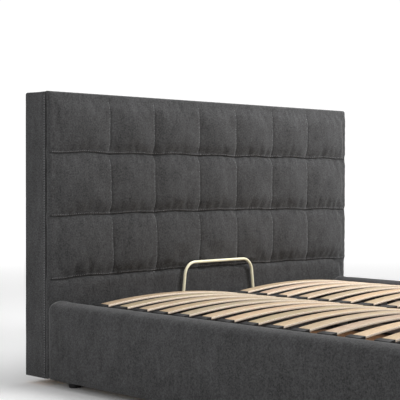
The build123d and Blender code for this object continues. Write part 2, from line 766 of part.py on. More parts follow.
def rail_pin(pivot):
    """A shouldered pin through the rail plate that a link turns on, with its head on the inner side."""
    u, z = pivot
    pin = across(link_inner_x - running_gap, half_well, u, z, pin_radius)
    pin += across(link_outer_x + running_gap, plate_inner_x, u, z, pin_collar_radius)
    pin += across(link_inner_x - running_gap - pin_head_height, link_inner_x - running_gap, u, z, pin_collar_radius)
    return pin


def bar_pin(pivot):
    """A shouldered pin on the lift bar that reaches out through a link, with its head outside."""
    u, z = pivot
    pin = across(frame_half_width, link_outer_x + running_gap, u, z, pin_radius)
    pin += across(bar_outer_x, link_inner_x - running_gap, u, z, pin_collar_radius)
    pin += across(link_outer_x + running_gap, link_outer_x + running_gap + pin_head_height, u, z, pin_collar_radius)
    return pin


def free_pin(pivot):
    """The front link's own pin: it stops just short of the lift bar's face."""
    u, z = pivot
    pin = across(link_inner_x, link_outer_x, u, z, pin_radius)
    pin += across(bar_outer_x + seat_gap, link_inner_x, u, z, pin_collar_radius)
    pin += across(link_outer_x, link_outer_x + pin_head_height, u, z, pin_collar_radius)
    return pin


def spring_eye(pivot):
    """The eye at one end of the gas spring, bored for its pin."""
    u, z = pivot
    half = spring_eye_width / 2
    eye = across(spring_centre_x - half, spring_centre_x + half, u, z, spring_eye_radius)
    return eye - across(spring_centre_x - spring_eye_width, spring_centre_x + spring_eye_width, u, z,
                        pin_radius + fit_clearance)


def spring_rod_piece(start, end, radius):
    """A round length on the gas spring's axis, measured from its lower pivot."""
    direction = (0, -cos(spring_rest_angle), sin(spring_rest_angle))
    base = Vector(spring_centre_x, along(spring_pivot[0]), spring_pivot[1])
    plane = Plane(origin=base + Vector(*direction) * start, z_dir=direction)
    return extrude(plane * Circle(radius), end - start)


def lift_mechanism():
    """The plates, links, pins and gas springs that carry the base on each side."""
    start, end = plate_ends()
    plate = block(plate_inner_x, half_well, start, end, plate_bottom, plate_bottom + plate_height)
    screws = []
    for u, z in plate_screw_places():
        place = (plate_inner_x, along(u), z)
        plate -= bolt_hole(place, (1, 0, 0), plate_screw_radius, plate_screw_length)
        plane = Plane(origin=place, z_dir=(1, 0, 0))
        screw = extrude(plane * Circle(plate_screw_radius), plate_screw_length)
        screw += extrude(plane * Circle(plate_screw_head_radius), -plate_screw_head_height)
        screws.append(screw)
    for u, z in (rear_rail_pivot, front_rail_pivot, spring_pivot):
        plate -= across(plate_inner_x - overrun, half_well + overrun, u, z, pin_radius + fit_clearance)
    keep_sides("rail_plate", plate)
    keep("rail_plate_screws", *screws, *[other_side(screw) for screw in screws])

    bar_start = rear_bar_pivot_u - lift_bar_head_margin
    bar = block(frame_half_width, bar_outer_x, bar_start, bar_start + lift_bar_length,
                bar_pivot_z - lift_bar_height / 2, bar_pivot_z + lift_bar_height / 2)
    bar -= across(frame_half_width - overrun, bar_outer_x + overrun, *rear_bar_pivot, pin_radius + fit_clearance)
    bolts = []
    for u in bar_bolt_places():
        place = (bar_outer_x, along(u), bar_pivot_z)
        bar -= bolt_hole(place, (-1, 0, 0), stop_bolt_radius, lift_bar_bolt_length)
        bolts.append(hex_bolt(place, (-1, 0, 0), stop_bolt_radius, stop_bolt_head_radius, stop_bolt_head_height,
                              lift_bar_bolt_length))
    keep_sides("lift_bar", bar)
    keep("lift_bar_bolts", *bolts, *[other_side(bolt) for bolt in bolts])

    keep_sides("rear_link", link(rear_rail_pivot, rear_bar_pivot, (rear_rail_pivot, rear_bar_pivot)))
    keep_sides("front_link", link(front_rail_pivot, front_bar_pivot, (front_rail_pivot, front_bar_pivot)))
    half_eye = spring_eye_width / 2
    spring_pin = across(spring_centre_x - half_eye - running_gap, half_well, *spring_pivot, pin_radius)
    spring_pin += across(spring_centre_x + half_eye + running_gap, plate_inner_x, *spring_pivot, pin_collar_radius)
    spring_pin += across(spring_centre_x - half_eye - running_gap - pin_head_height,
                         spring_centre_x - half_eye - running_gap, *spring_pivot, pin_collar_radius)
    rail_pins = [rail_pin(rear_rail_pivot), rail_pin(front_rail_pivot), spring_pin]
    keep("rail_pivot_pins", *rail_pins, *[other_side(pin) for pin in rail_pins])
    keep("lift_bar_pins", bar_pin(rear_bar_pivot), other_side(bar_pin(rear_bar_pivot)))
    keep_sides("front_link_pin", free_pin(front_bar_pivot))

    body_start = spring_eye_radius
    body = spring_rod_piece(body_start + spring_neck_radius, spring_body_length, spring_body_radius)
    bore_start = body_start + spring_neck_radius + spring_nose_length
    body -= spring_rod_piece(bore_start, spring_body_length - spring_nose_length, spring_body_radius - spring_wall)
    body -= spring_rod_piece(bore_start, spring_body_length + overrun, spring_rod_radius + fit_clearance)
    neck = spring_rod_piece(pin_radius + 2 * running_gap, body_start + spring_neck_radius, spring_neck_radius)
    neck -= across(spring_centre_x - spring_eye_width, spring_centre_x + spring_eye_width, *spring_pivot,
                   pin_radius + fit_clearance)
    keep_sides("gas_spring_cylinder", body + neck + spring_eye(spring_pivot))
    lifted_piston_end = spring_body_length - spring_nose_length - spring_piston_room
    rod_start = lifted_piston_end - spring_piston_length - (spring_open - spring_closed)
    rod = spring_rod_piece(rod_start, spring_closed - pin_radius - 2 * running_gap, spring_rod_radius)
    piston = spring_rod_piece(rod_start, rod_start + spring_piston_length,
                              spring_body_radius - spring_wall - fit_clearance)
    neck = spring_rod_piece(spring_closed - spring_eye_radius - 2 * spring_neck_radius,
                            spring_closed - pin_radius - 2 * running_gap, spring_neck_radius)
    eye_end = rod + piston + neck + spring_eye(eye_pivot)
    stud = across(spring_centre_x - half_eye, link_inner_x - seat_gap, *eye_pivot, pin_radius)
    stud += across(spring_centre_x + half_eye, link_inner_x - seat_gap, *eye_pivot, pin_collar_radius)
    stud += across(spring_centre_x - half_eye - pin_head_height, spring_centre_x - half_eye, *eye_pivot,
                   pin_collar_radius)
    keep_sides("gas_spring_rod", eye_end)
    keep_sides("gas_spring_stud", stud)


# Rests for the base
def base_rests():
    """Timber blocks with rubber pads on the side rails that the closed base rests on."""
    pad_top = frame_bottom - seat_gap
    block_top = pad_top - rest_pad_thickness
    inner_x = frame_half_width - rest_overlap
    blocks = []
    pads = []
    for u in places_along(rest_shares):
        ends = (u - rest_block_length / 2, u + rest_block_length / 2)
        blocks.append(block(inner_x, half_well, *ends, block_top - rest_block_height, block_top))
        pads.append(block(inner_x, frame_half_width, *ends, block_top, pad_top))
    keep("base_rest_blocks", *blocks, *[other_side(b) for b in blocks])
    keep("base_rest_pads", *pads, *[other_side(p) for p in pads])


headboard()
side_rails()
footboard()
corner_brackets()
storage_floor()
feet()
base_frame()
slats()
mattress_stop()
lift_mechanism()
base_rests()

os.makedirs("parts", exist_ok=True)
for node_name, shape in nodes.items():
    export_step(shape, os.path.join("parts", node_name + ".step"))

print("nodes", len(nodes))
print("seam_y", round(seam_y, 3), "overall length", round(overall_length, 3))
print("rear link turns", round(rear_turn, 4), "front link turns", round(front_turn, 4))
print("rear rail pivot", rear_rail_pivot, "front rail pivot", front_rail_pivot)
print("spring closed", round(spring_closed, 3), "open", round(spring_open, 3),
      "turns", round(degrees(spring_open_angle - spring_rest_angle), 4),
      "rest angle", round(degrees(spring_rest_angle), 4))
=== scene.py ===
"""Looks of a double bed: stitched velour headboard, padded rails, birch slats and a lift-up steel base.

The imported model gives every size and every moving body. This script dresses it: padded covers settled as
cloth, bent laminated slats, moulded holders, stitching and staples, and a procedural material on each piece.
Lengths are metres in the model's own frame: X across the bed, Y towards the headboard, Z up from the floor.
"""

import logging
import math
from dataclasses import dataclass, field
from enum import Enum
from typing import Callable, Iterable, Optional, Sequence

import bmesh
import bpy
from mathutils import Matrix, Vector, noise

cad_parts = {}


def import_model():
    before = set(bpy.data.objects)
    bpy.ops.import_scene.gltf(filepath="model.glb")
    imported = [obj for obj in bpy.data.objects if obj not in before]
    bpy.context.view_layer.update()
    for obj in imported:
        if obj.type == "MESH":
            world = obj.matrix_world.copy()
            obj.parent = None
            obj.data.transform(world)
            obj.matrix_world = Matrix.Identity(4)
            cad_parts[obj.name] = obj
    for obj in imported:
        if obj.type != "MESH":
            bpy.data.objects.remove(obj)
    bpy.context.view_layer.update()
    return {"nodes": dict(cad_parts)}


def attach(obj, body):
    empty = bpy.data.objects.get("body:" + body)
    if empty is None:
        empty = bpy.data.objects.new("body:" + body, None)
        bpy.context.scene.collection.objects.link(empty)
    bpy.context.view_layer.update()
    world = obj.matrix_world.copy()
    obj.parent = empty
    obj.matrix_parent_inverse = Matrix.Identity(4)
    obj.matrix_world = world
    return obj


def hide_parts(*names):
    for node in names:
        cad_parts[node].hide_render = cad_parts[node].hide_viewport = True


log = logging.getLogger("bed")

SEAM_Y = 1.008
MM = 0.001
# How wide one band of a wave texture is at scale 1.
BAND = 0.16
# Two places count as one when they are nearer than this.
CLOSE = 0.001


def along(u: float) -> float:
    """Y of a place that lies u towards the foot from the headboard's edge seam."""
    return SEAM_Y - u


def linear(code: str) -> tuple[float, float, float, float]:
    """Turn an sRGB hex colour into linear RGBA.

    Args:
        code: Six hex digits.

    Returns:
        Linear red, green, blue and an alpha of one.
    """
    parts = [int(code[i:i + 2], 16) / 255 for i in (0, 2, 4)]
    red, green, blue = [p / 12.92 if p <= 0.04045 else ((p + 0.055) / 1.055) ** 2.4 for p in parts]
    return (red, green, blue, 1.0)


@dataclass
class Surface:
    """The nodes of a material or of the world, and the shader that they end in."""

    tree: bpy.types.NodeTree
    shader: bpy.types.Node

    def feed(self, node: bpy.types.Node, inputs: dict) -> None:
        """Set a node's inputs, and link those that are given a socket.

        Args:
            node: The node.
            inputs: Values or output sockets, by the name or number of the input.
        """
        for socket, value in inputs.items():
            if isinstance(value, bpy.types.NodeSocket):
                self.tree.links.new(value, node.inputs[socket])
            else:
                node.inputs[socket].default_value = value

    def add(self, kind: str, inputs: Optional[dict] = None, out: str | int = 0, **settings: object) -> object:
        """Add one node.

        Args:
            kind: The node's type name, without its ShaderNode prefix.
            inputs: Values or output sockets, by the name or number of the input.
            out: The output that is wanted, by name or number.
            settings: Properties of the node.

        Returns:
            That output's socket.
        """
        node = self.tree.nodes.new("ShaderNode" + kind)
        for name, value in settings.items():
            setattr(node, name, value)
        self.feed(node, inputs or {})
        return node.outputs[out]

    def end(self, inputs: dict) -> None:
        """Set or link the shader's own inputs."""
        self.feed(self.shader, inputs)


class Axis(Enum):
    """The direction that a grain runs in, with the scale that draws a pattern out along it."""

    X = (1 / 18, 1.0, 1.0)
    Y = (1.0, 1 / 18, 1.0)
    Z = (1.0, 1.0, 1 / 18)


@dataclass(frozen=True)
class Finish:
    """A surface, named for its real material, with its colour and how rough it is."""

    name: str
    colour: str
    roughness: float

    def material(self) -> bpy.types.Material:
        """Make the material once, and share it from then on.

        Returns:
            The material.
        """
        made = bpy.data.materials.get(self.name)
        if made is None:
            made = bpy.data.materials.new(self.name)
            made.use_nodes = True
            surface = Surface(made.node_tree, made.node_tree.nodes["Principled BSDF"])
            surface.end({"Base Color": linear(self.colour), "Roughness": self.roughness})
            self.lay(surface)
        return made

    def lay(self, on: Surface) -> None:
        """Add the nodes of the finish; each kind has its own way."""
        raise NotImplementedError


@dataclass(frozen=True)
class Velour(Finish):
    """Short-pile velour: dull and flecked, with upright brush marks and a nap that lights up at a slant."""

    light: str = "4d4d4e"
    fleck_mm: float = 6.0
    stroke_mm: float = 26.0
    patch_mm: float = 95.0
    weave_mm: float = 1.6

    def lay(self, on: Surface) -> None:
        """Lay flecks and brush strokes over broad patches, with sheen for the raised fibres.

        Args:
            on: The material's nodes.
        """
        place = on.add("TexCoord", out="Object")
        # The pile is under 1 mm; its flecks are drawn coarser so that they show at the photograph's size.
        flecks = on.add("TexNoise", {"Vector": place, "Scale": 1 / (self.fleck_mm * MM), "Detail": 4.0,
                                     "Roughness": 0.8})
        upright = on.add("Mapping", {"Vector": place, "Scale": (1.0, 1.0, 0.22)})
        strokes = on.add("TexNoise", {"Vector": upright, "Scale": 1 / (self.stroke_mm * MM), "Detail": 4.0,
                                      "Roughness": 0.7, "Distortion": 0.3})
        patches = on.add("TexNoise", {"Vector": place, "Scale": 1 / (self.patch_mm * MM), "Detail": 2.0,
                                      "Distortion": 0.5})
        weave = on.add("TexVoronoi", {"Vector": place, "Scale": 1 / (self.weave_mm * MM)})
        share = on.add("MapRange", {"Value": flecks, "From Min": 0.36, "From Max": 0.64, "To Max": 0.66})
        share = on.add("Math", {0: strokes, 1: 0.55, 2: share}, operation="MULTIPLY_ADD")
        share = on.add("Math", {0: patches, 1: 0.40, 2: share}, operation="MULTIPLY_ADD")
        share = on.add("MapRange", {"Value": share, "From Min": 0.38, "From Max": 1.24})
        tone = on.add("Mix", {0: share, 6: linear(self.colour), 7: linear(self.light)}, 2, data_type="RGBA")
        height = on.add("Math", {0: weave, 1: 0.35, 2: flecks}, operation="MULTIPLY_ADD")
        bump = on.add("Bump", {"Height": height, "Strength": 0.4, "Distance": 0.9 * MM})
        on.end({"Base Color": tone, "Normal": bump, "Specular IOR Level": 0.12, "Sheen Weight": 0.18,
                "Sheen Roughness": 0.4, "Sheen Tint": linear("dcdcdc")})


@dataclass(frozen=True)
class Thread(Finish):
    """Twisted polyester sewing thread: a fine slanting ply that shines a little."""

    light: str = "949496"
    ply_mm: float = 1.1

    def lay(self, on: Surface) -> None:
        """Lay slanting bands for the twist.

        Args:
            on: The material's nodes.
        """
        turned = on.add("Mapping", {"Vector": on.add("TexCoord", out="Object"), "Rotation": (0.6, 0.5, 0.7)})
        twist = on.add("TexWave", {"Vector": turned, "Scale": BAND / (self.ply_mm * MM),
                                   "Distortion": 0.5}, "Fac")
        tone = on.add("Mix", {0: twist, 6: linear(self.colour), 7: linear(self.light)}, 2, data_type="RGBA")
        bump = on.add("Bump", {"Height": twist, "Strength": 0.5, "Distance": 0.3 * MM})
        on.end({"Base Color": tone, "Normal": bump, "Sheen Weight": 0.2})


@dataclass(frozen=True)
class NonWoven(Finish):
    """Spunbonded polypropylene dust cloth: black felt with a grid of pressed dots."""

    light: str = "4a4a4c"
    dot_mm: float = 3.0

    def lay(self, on: Surface) -> None:
        """Press dots among loose fibres.

        Args:
            on: The material's nodes.
        """
        place = on.add("TexCoord", out="Object")
        dots = on.add("TexVoronoi", {"Vector": place, "Scale": 1 / (self.dot_mm * MM), "Randomness": 0.0})
        fibres = on.add("TexNoise", {"Vector": place, "Scale": 260.0, "Detail": 4.0, "Distortion": 2.0})
        clouds = on.add("TexNoise", {"Vector": place, "Scale": 9.0, "Detail": 3.0})
        pressed = on.add("MapRange", {"Value": dots, "From Min": 0.2, "From Max": 0.45})
        mixed = on.add("Math", {0: fibres, 1: clouds}, operation="MULTIPLY")
        tone = on.add("Mix", {0: mixed, 6: linear(self.colour), 7: linear(self.light)}, 2, data_type="RGBA")
        height = on.add("Math", {0: fibres, 1: 0.4, 2: pressed}, operation="MULTIPLY_ADD")
        bump = on.add("Bump", {"Height": height, "Strength": 0.5, "Distance": 0.4 * MM})
        on.end({"Base Color": tone, "Normal": bump, "Specular IOR Level": 0.2})


@dataclass(frozen=True)
class Pine(Finish):
    """Planed spruce or pine: pale early wood, thin darker late-wood lines and a few knots."""

    late_wood: str = "c08a4e"
    knot_colour: str = "7a4a26"
    ring_mm: float = 5.0
    grain: Axis = Axis.X

    def lay(self, on: Surface) -> None:
        """Lay growth rings drawn out along the grain, with pores and knots.

        Args:
            on: The material's nodes.
        """
        place = on.add("TexCoord", out="Object")
        drawn = on.add("Mapping", {"Vector": place, "Scale": self.grain.value})
        rings = on.add("TexWave", {"Vector": drawn, "Scale": BAND / (self.ring_mm * MM), "Distortion": 9.0,
                                   "Detail": 2.0, "Detail Scale": 1.2}, "Fac",
                       wave_type="RINGS", rings_direction=self.grain.name)
        pores = on.add("TexNoise", {"Vector": drawn, "Scale": 420.0, "Detail": 3.0})
        knots = on.add("TexVoronoi", {"Vector": place, "Scale": 3.2})
        knot = on.add("MapRange", {"Value": knots, "From Min": 0.035, "From Max": 0.06,
                                   "To Min": 1.0, "To Max": 0.0})
        line = on.add("Math", {0: rings, 1: 2.6}, operation="POWER")
        line = on.add("Math", {0: pores, 1: 0.25, 2: line}, operation="MULTIPLY_ADD", use_clamp=True)
        tone = on.add("Mix", {0: line, 6: linear(self.colour), 7: linear(self.late_wood)}, 2,
                      data_type="RGBA")
        tone = on.add("Mix", {0: knot, 6: tone, 7: linear(self.knot_colour)}, 2, data_type="RGBA")
        bump = on.add("Bump", {"Height": line, "Strength": 0.25, "Distance": 0.3 * MM})
        on.end({"Base Color": tone, "Normal": bump})


@dataclass(frozen=True)
class PressedBoard(Finish):
    """Chipboard or hardboard: wood pressed with resin, in chips or in fine fibres."""

    chip_colour: str = "d3b27c"
    chip_mm: float = 5.0

    def lay(self, on: Surface) -> None:
        """Lay chips of several tones with fine fibre between them.

        Args:
            on: The material's nodes.
        """
        place = on.add("TexCoord", out="Object")
        chips = on.add("TexVoronoi", {"Vector": place, "Scale": 1 / (self.chip_mm * MM)}, "Color")
        fibres = on.add("TexNoise", {"Vector": place, "Scale": 2.5 / (self.chip_mm * MM), "Detail": 4.0,
                                     "Distortion": 1.5})
        share = on.add("Math", {0: on.add("RGBToBW", {"Color": chips}), 1: fibres}, operation="MULTIPLY")
        share = on.add("MapRange", {"Value": share, "From Min": 0.1, "From Max": 0.45})
        tone = on.add("Mix", {0: share, 6: linear(self.colour), 7: linear(self.chip_colour)}, 2,
                      data_type="RGBA")
        bump = on.add("Bump", {"Height": fibres, "Strength": 0.3, "Distance": 0.3 * MM})
        on.end({"Base Color": tone, "Normal": bump})


@dataclass(frozen=True)
class BirchSlat(Finish):
    """Laminated birch under a thin clear coat: straight-grained tan faces, pale sawn edges brightened further
    by a painted highlight, and glue lines.

    The arc, the pitch and the first slat's place are those of the slats themselves.
    """

    grain_colour: str = "a88f72"
    # The pale ply edge colour is lifted near white as a painted highlight of light from the foot end.
    edge_and_highlight_colour: str = "f9ecdb"
    glue_colour: str = "b89a6c"
    plies: float = 6.0
    thickness: float = 0.008
    arc_radius: float = 2.9128
    arc_x: float = 0.391
    arc_z: float = -2.5763
    pitch: float = 0.11066
    first_y: float = 0.8505

    def lay(self, on: Surface) -> None:
        """Lay grain along the slat, a tone of its own for each slat, and plies on the edges, whose colour
        holds a painted highlight.

        Args:
            on: The material's nodes.
        """
        place = on.add("TexCoord", out="Object")
        parts = on.add("SeparateXYZ", {"Vector": place}).node.outputs
        number = on.add("MapRange", {"Value": parts["Y"], "From Min": self.first_y + self.pitch / 2,
                                     "From Max": self.first_y - self.pitch / 2}, clamp=False)
        number = on.add("Math", {0: number}, operation="FLOOR")
        side = on.add("Math", {0: parts["X"]}, operation="SIGN")
        key = on.add("CombineXYZ", {"X": number, "Y": side})
        chance = on.add("TexWhiteNoise", {"Vector": key}).node.outputs
        shifted = on.add("VectorMath", {0: place, 1: (2.0, 55.0, 55.0), 2: chance["Color"]},
                         operation="MULTIPLY_ADD")
        grain = on.add("TexNoise", {"Vector": shifted, "Scale": 6.0, "Detail": 5.0, "Roughness": 0.65,
                                    "Distortion": 0.3})
        fleck = on.add("TexNoise", {"Vector": shifted, "Scale": 40.0, "Detail": 2.0})
        streak = on.add("MapRange", {"Value": grain, "From Min": 0.38, "From Max": 0.66})
        streak = on.add("Math", {0: fleck, 1: 0.35, 2: streak}, operation="MULTIPLY_ADD", use_clamp=True)
        face = on.add("Mix", {0: streak, 6: linear(self.colour), 7: linear(self.grain_colour)}, 2,
                      data_type="RGBA")
        lighter = on.add("MapRange", {"Value": chance["Value"], "To Min": 0.84, "To Max": 1.18})
        face = on.add("VectorMath", {0: face, "Scale": lighter}, operation="SCALE")
        # Slats cut from different logs lean a little towards pink, tan or green.
        tint = on.add("VectorMath", {0: chance["Color"], 1: (0.08, 0.07, 0.16), 2: (0.96, 0.96, 0.91)},
                      operation="MULTIPLY_ADD")
        face = on.add("VectorMath", {0: face, 1: tint}, operation="MULTIPLY")
        across = on.add("Math", {0: parts["X"]}, operation="ABSOLUTE")
        across = on.add("Math", {0: across, 1: self.arc_x}, operation="SUBTRACT")
        upward = on.add("Math", {0: parts["Z"], 1: self.arc_z}, operation="SUBTRACT")
        arm = on.add("CombineXYZ", {"X": across, "Z": upward})
        reach = on.add("VectorMath", {0: arm}, "Value", operation="LENGTH")
        ply = on.add("MapRange", {"Value": reach, "From Min": self.arc_radius - self.thickness,
                                  "From Max": self.arc_radius, "To Max": self.plies}, clamp=False)
        ply = on.add("Math", {0: ply}, operation="FRACT")
        glue = on.add("Math", {0: ply, 1: 0.16}, operation="LESS_THAN")
        # The sawn edges are paler ply with glue lines; their colour is also a painted highlight of the light
        # falling on them from the foot end.
        edge = on.add("Mix", {0: glue, 6: linear(self.edge_and_highlight_colour), 7: linear(self.glue_colour)}, 2,
                      data_type="RGBA")
        facing = on.add("SeparateXYZ", {"Vector": on.add("TexCoord", out="Normal")}, "Y")
        on_edge = on.add("Math", {0: facing}, operation="ABSOLUTE")
        on_edge = on.add("MapRange", {"Value": on_edge, "From Min": 0.55, "From Max": 0.8})
        tone = on.add("Mix", {0: on_edge, 6: face, 7: edge}, 2, data_type="RGBA")
        bump = on.add("Bump", {"Height": streak, "Strength": 0.15, "Distance": 0.2 * MM})
        on.end({"Base Color": tone, "Normal": bump, "Coat Weight": 0.15, "Coat Roughness": 0.35})


@dataclass(frozen=True)
class Moulded(Finish):
    """Injection-moulded plastic or rubber with a fine spark-eroded grain."""

    grain_mm: float = 0.8
    worn: str = "3c3c3e"

    def lay(self, on: Surface) -> None:
        """Lay a fine grain, with scuffs a little lighter than the rest.

        Args:
            on: The material's nodes.
        """
        place = on.add("TexCoord", out="Object")
        grain = on.add("TexNoise", {"Vector": place, "Scale": 0.5 / (self.grain_mm * MM), "Detail": 2.0})
        scuffs = on.add("TexNoise", {"Vector": place, "Scale": 22.0, "Detail": 5.0, "Roughness": 0.7})
        share = on.add("MapRange", {"Value": scuffs, "From Min": 0.5, "From Max": 0.75})
        tone = on.add("Mix", {0: share, 6: linear(self.colour), 7: linear(self.worn)}, 2, data_type="RGBA")
        rough = on.add("MapRange", {"Value": scuffs, "To Min": self.roughness,
                                    "To Max": min(1.0, self.roughness + 0.15)})
        bump = on.add("Bump", {"Height": grain, "Strength": 0.25, "Distance": 0.15 * MM})
        on.end({"Base Color": tone, "Roughness": rough, "Normal": bump})


@dataclass(frozen=True)
class PowderCoat(Finish):
    """Powder-coated steel: an even semi-gloss skin with a slight orange peel."""

    peel_mm: float = 2.0
    shade: str = "303234"

    def lay(self, on: Surface) -> None:
        """Lay orange peel and faint cloudiness.

        Args:
            on: The material's nodes.
        """
        place = on.add("TexCoord", out="Object")
        peel = on.add("TexNoise", {"Vector": place, "Scale": 1 / (self.peel_mm * MM), "Detail": 1.0})
        clouds = on.add("TexNoise", {"Vector": place, "Scale": 14.0, "Detail": 4.0})
        share = on.add("MapRange", {"Value": clouds, "From Min": 0.4, "From Max": 0.8, "To Max": 0.6})
        tone = on.add("Mix", {0: share, 6: linear(self.colour), 7: linear(self.shade)}, 2, data_type="RGBA")
        rough = on.add("MapRange", {"Value": clouds, "To Min": self.roughness - 0.05,
                                    "To Max": self.roughness + 0.1})
        bump = on.add("Bump", {"Height": peel, "Strength": 0.2, "Distance": 0.1 * MM})
        on.end({"Base Color": tone, "Roughness": rough, "Normal": bump})


@dataclass(frozen=True)
class PlatedSteel(Finish):
    """Zinc or chrome plating on steel: metal, with a spangle or faint polishing lines."""

    spangle_mm: float = 4.0
    darker: str = "8d9196"

    def lay(self, on: Surface) -> None:
        """Lay crystals of two tones with fine scratches.

        Args:
            on: The material's nodes.
        """
        place = on.add("TexCoord", out="Object")
        crystals = on.add("TexVoronoi", {"Vector": place, "Scale": 1 / (self.spangle_mm * MM)}, "Color")
        marks = on.add("TexNoise", {"Vector": place, "Scale": 90.0, "Detail": 4.0, "Distortion": 1.0})
        share = on.add("Math", {0: on.add("RGBToBW", {"Color": crystals}), 1: marks}, operation="MULTIPLY")
        tone = on.add("Mix", {0: share, 6: linear(self.colour), 7: linear(self.darker)}, 2, data_type="RGBA")
        rough = on.add("MapRange", {"Value": marks, "To Min": self.roughness - 0.06,
                                    "To Max": self.roughness + 0.14})
        bump = on.add("Bump", {"Height": marks, "Strength": 0.12, "Distance": 0.1 * MM})
        on.end({"Base Color": tone, "Roughness": rough, "Normal": bump, "Metallic": 1.0})


@dataclass(frozen=True)
class StudioFloor(Finish):
    """A matt pale studio floor with the faintest unevenness."""

    light: str = "fcfcfc"
    far_glow: float = 0.62

    def lay(self, on: Surface) -> None:
        """Lay two nearly equal pale tones.

        Args:
            on: The material's nodes.
        """
        place = on.add("TexCoord", out="Object")
        clouds = on.add("TexNoise", {"Vector": place, "Scale": 1.5, "Detail": 2.0})
        tone = on.add("Mix", {0: clouds, 6: linear(self.colour), 7: linear(self.light)}, 2, data_type="RGBA")
        # The far floor is lit by itself, as a studio's back wall is, so that the horizon stays pale.
        distance = on.add("VectorMath", {0: place}, "Value", operation="LENGTH")
        glow = on.add("MapRange", {"Value": distance, "From Min": 2.0, "From Max": 9.0,
                                   "To Max": self.far_glow}, interpolation_type="SMOOTHSTEP")
        on.end({"Base Color": tone, "Specular IOR Level": 0.1, "Emission Color": linear("ffffff"),
                "Emission Strength": glow})


VELOUR = Velour("charcoal_velour", "252525", 0.95)
THREAD = Thread("grey_sewing_thread", "77777a", 0.7)
DUST_CLOTH = NonWoven("black_dust_cloth", "1d1d1f", 0.9)
PINE_ACROSS = Pine("planed_pine_across", "dcbb86", 0.6)
PINE_UPRIGHT = Pine("planed_pine_upright", "d9b680", 0.6, grain=Axis.Z)
PINE_ALONG = Pine("planed_pine_along", "dab883", 0.6, grain=Axis.Y)
CHIPBOARD = PressedBoard("raw_chipboard", "8e6d42", 0.8)
HARDBOARD = PressedBoard("brown_hardboard", "6e4c30", 0.55, "8b6440", 1.2)
STEEL_STAPLE = PlatedSteel("staple_wire", "c3c5c8", 0.35, 1.0)
BIRCH = BirchSlat("lacquered_birch_slat", "c7b497", 0.5)
BLACK_NYLON = Moulded("black_moulded_nylon", "161617", 0.5)
BLACK_RUBBER = Moulded("black_rubber", "101011", 0.8, 1.5, "2c2c2d")
GRAPHITE_COAT = PowderCoat("graphite_powder_coat", "26282a", 0.4)
IVORY_COAT = PowderCoat("ivory_powder_coat", "e9e4c8", 0.38, shade="dcd6b6")
BLACK_COAT = PowderCoat("black_spring_paint", "0e0e0f", 0.22, 1.2, "181819")
ZINC = PlatedSteel("zinc_plated_steel", "b9bdc2", 0.36)
CHROME = PlatedSteel("hard_chrome", "d9dbde", 0.12, 9.0, "bfc2c6")
FLOOR = StudioFloor("pale_studio_floor", "f6f6f6", 0.9)


class Part(Enum):
    """What an edit-mode selection picks."""

    FACES = "FACE"
    EDGES = "EDGE"


def deselect() -> None:
    """Leave edit mode and deselect everything."""
    if bpy.context.object and bpy.context.object.mode != "OBJECT":
        bpy.ops.object.mode_set(mode="OBJECT")
    bpy.ops.object.select_all(action="DESELECT")


def make_active(piece: bpy.types.Object) -> None:
    """Select one piece alone and make it the active one."""
    deselect()
    piece.select_set(True)
    bpy.context.view_layer.objects.active = piece


def edit(piece: bpy.types.Object) -> None:
    """Open one piece in edit mode with everything selected."""
    make_active(piece)
    bpy.ops.object.mode_set(mode="EDIT")
    bpy.ops.mesh.select_mode(type="VERT")
    bpy.ops.mesh.select_all(action="SELECT")


def finish_edit() -> None:
    """Turn all faces outwards and leave edit mode."""
    bpy.ops.mesh.select_mode(type="VERT")
    bpy.ops.mesh.select_all(action="SELECT")
    bpy.ops.mesh.remove_doubles(threshold=0.000001)
    bpy.ops.mesh.normals_make_consistent(inside=False)
    bpy.ops.object.mode_set(mode="OBJECT")


def middle(element: bmesh.types.BMFace | bmesh.types.BMEdge) -> Vector:
    """The middle of a face's or an edge's corners."""
    corners = [v.co for v in element.verts]
    return sum(corners, Vector()) / len(corners)


def runs(edge: bmesh.types.BMEdge, axis: int) -> bool:
    """Whether an edge runs along an axis."""
    way = (edge.verts[1].co - edge.verts[0].co).normalized()
    return abs(way[axis]) > 0.999


def faces_way(face: bmesh.types.BMFace, axis: int) -> bool:
    """Whether a face looks along an axis, either way."""
    return abs(face.normal[axis]) > 0.9


def pick(piece: bpy.types.Object, part: Part, test: Callable[[object], bool]) -> None:
    """Select what passes a test in the piece that is open in edit mode.

    Args:
        piece: The piece.
        part: Faces or edges.
        test: Says whether one of them is selected.
    """
    bpy.ops.mesh.select_mode(type=part.value)
    bpy.ops.mesh.select_all(action="DESELECT")
    shape = bmesh.from_edit_mesh(piece.data)
    shape.normal_update()
    elements = shape.faces if part is Part.FACES else shape.edges
    for element in [e for e in elements if test(e)]:
        element.select_set(True)
    bmesh.update_edit_mesh(piece.data)


def round_off(piece: bpy.types.Object, width: float, segments: int, test: Callable[[object], bool]) -> None:
    """Round the edges that pass a test in the piece that is open in edit mode."""
    pick(piece, Part.EDGES, test)
    bpy.ops.mesh.bevel(offset=width, segments=segments, affect="EDGES")


def draw_out(piece: bpy.types.Object, axis: int, way: int, move: Sequence[float],
             scale: Sequence[float]) -> None:
    """Draw one end of a piece out and taper it.

    Args:
        piece: The piece, open in edit mode.
        axis: The axis that the end looks along.
        way: The side that it looks to, -1 or 1.
        move: How far the end is drawn.
        scale: The end's new size, as a share of the old one.
    """
    pick(piece, Part.FACES, lambda f: f.normal[axis] * way > 0.9)
    bpy.ops.mesh.extrude_region_move(TRANSFORM_OT_translate={"value": move})
    bpy.ops.transform.resize(value=scale)


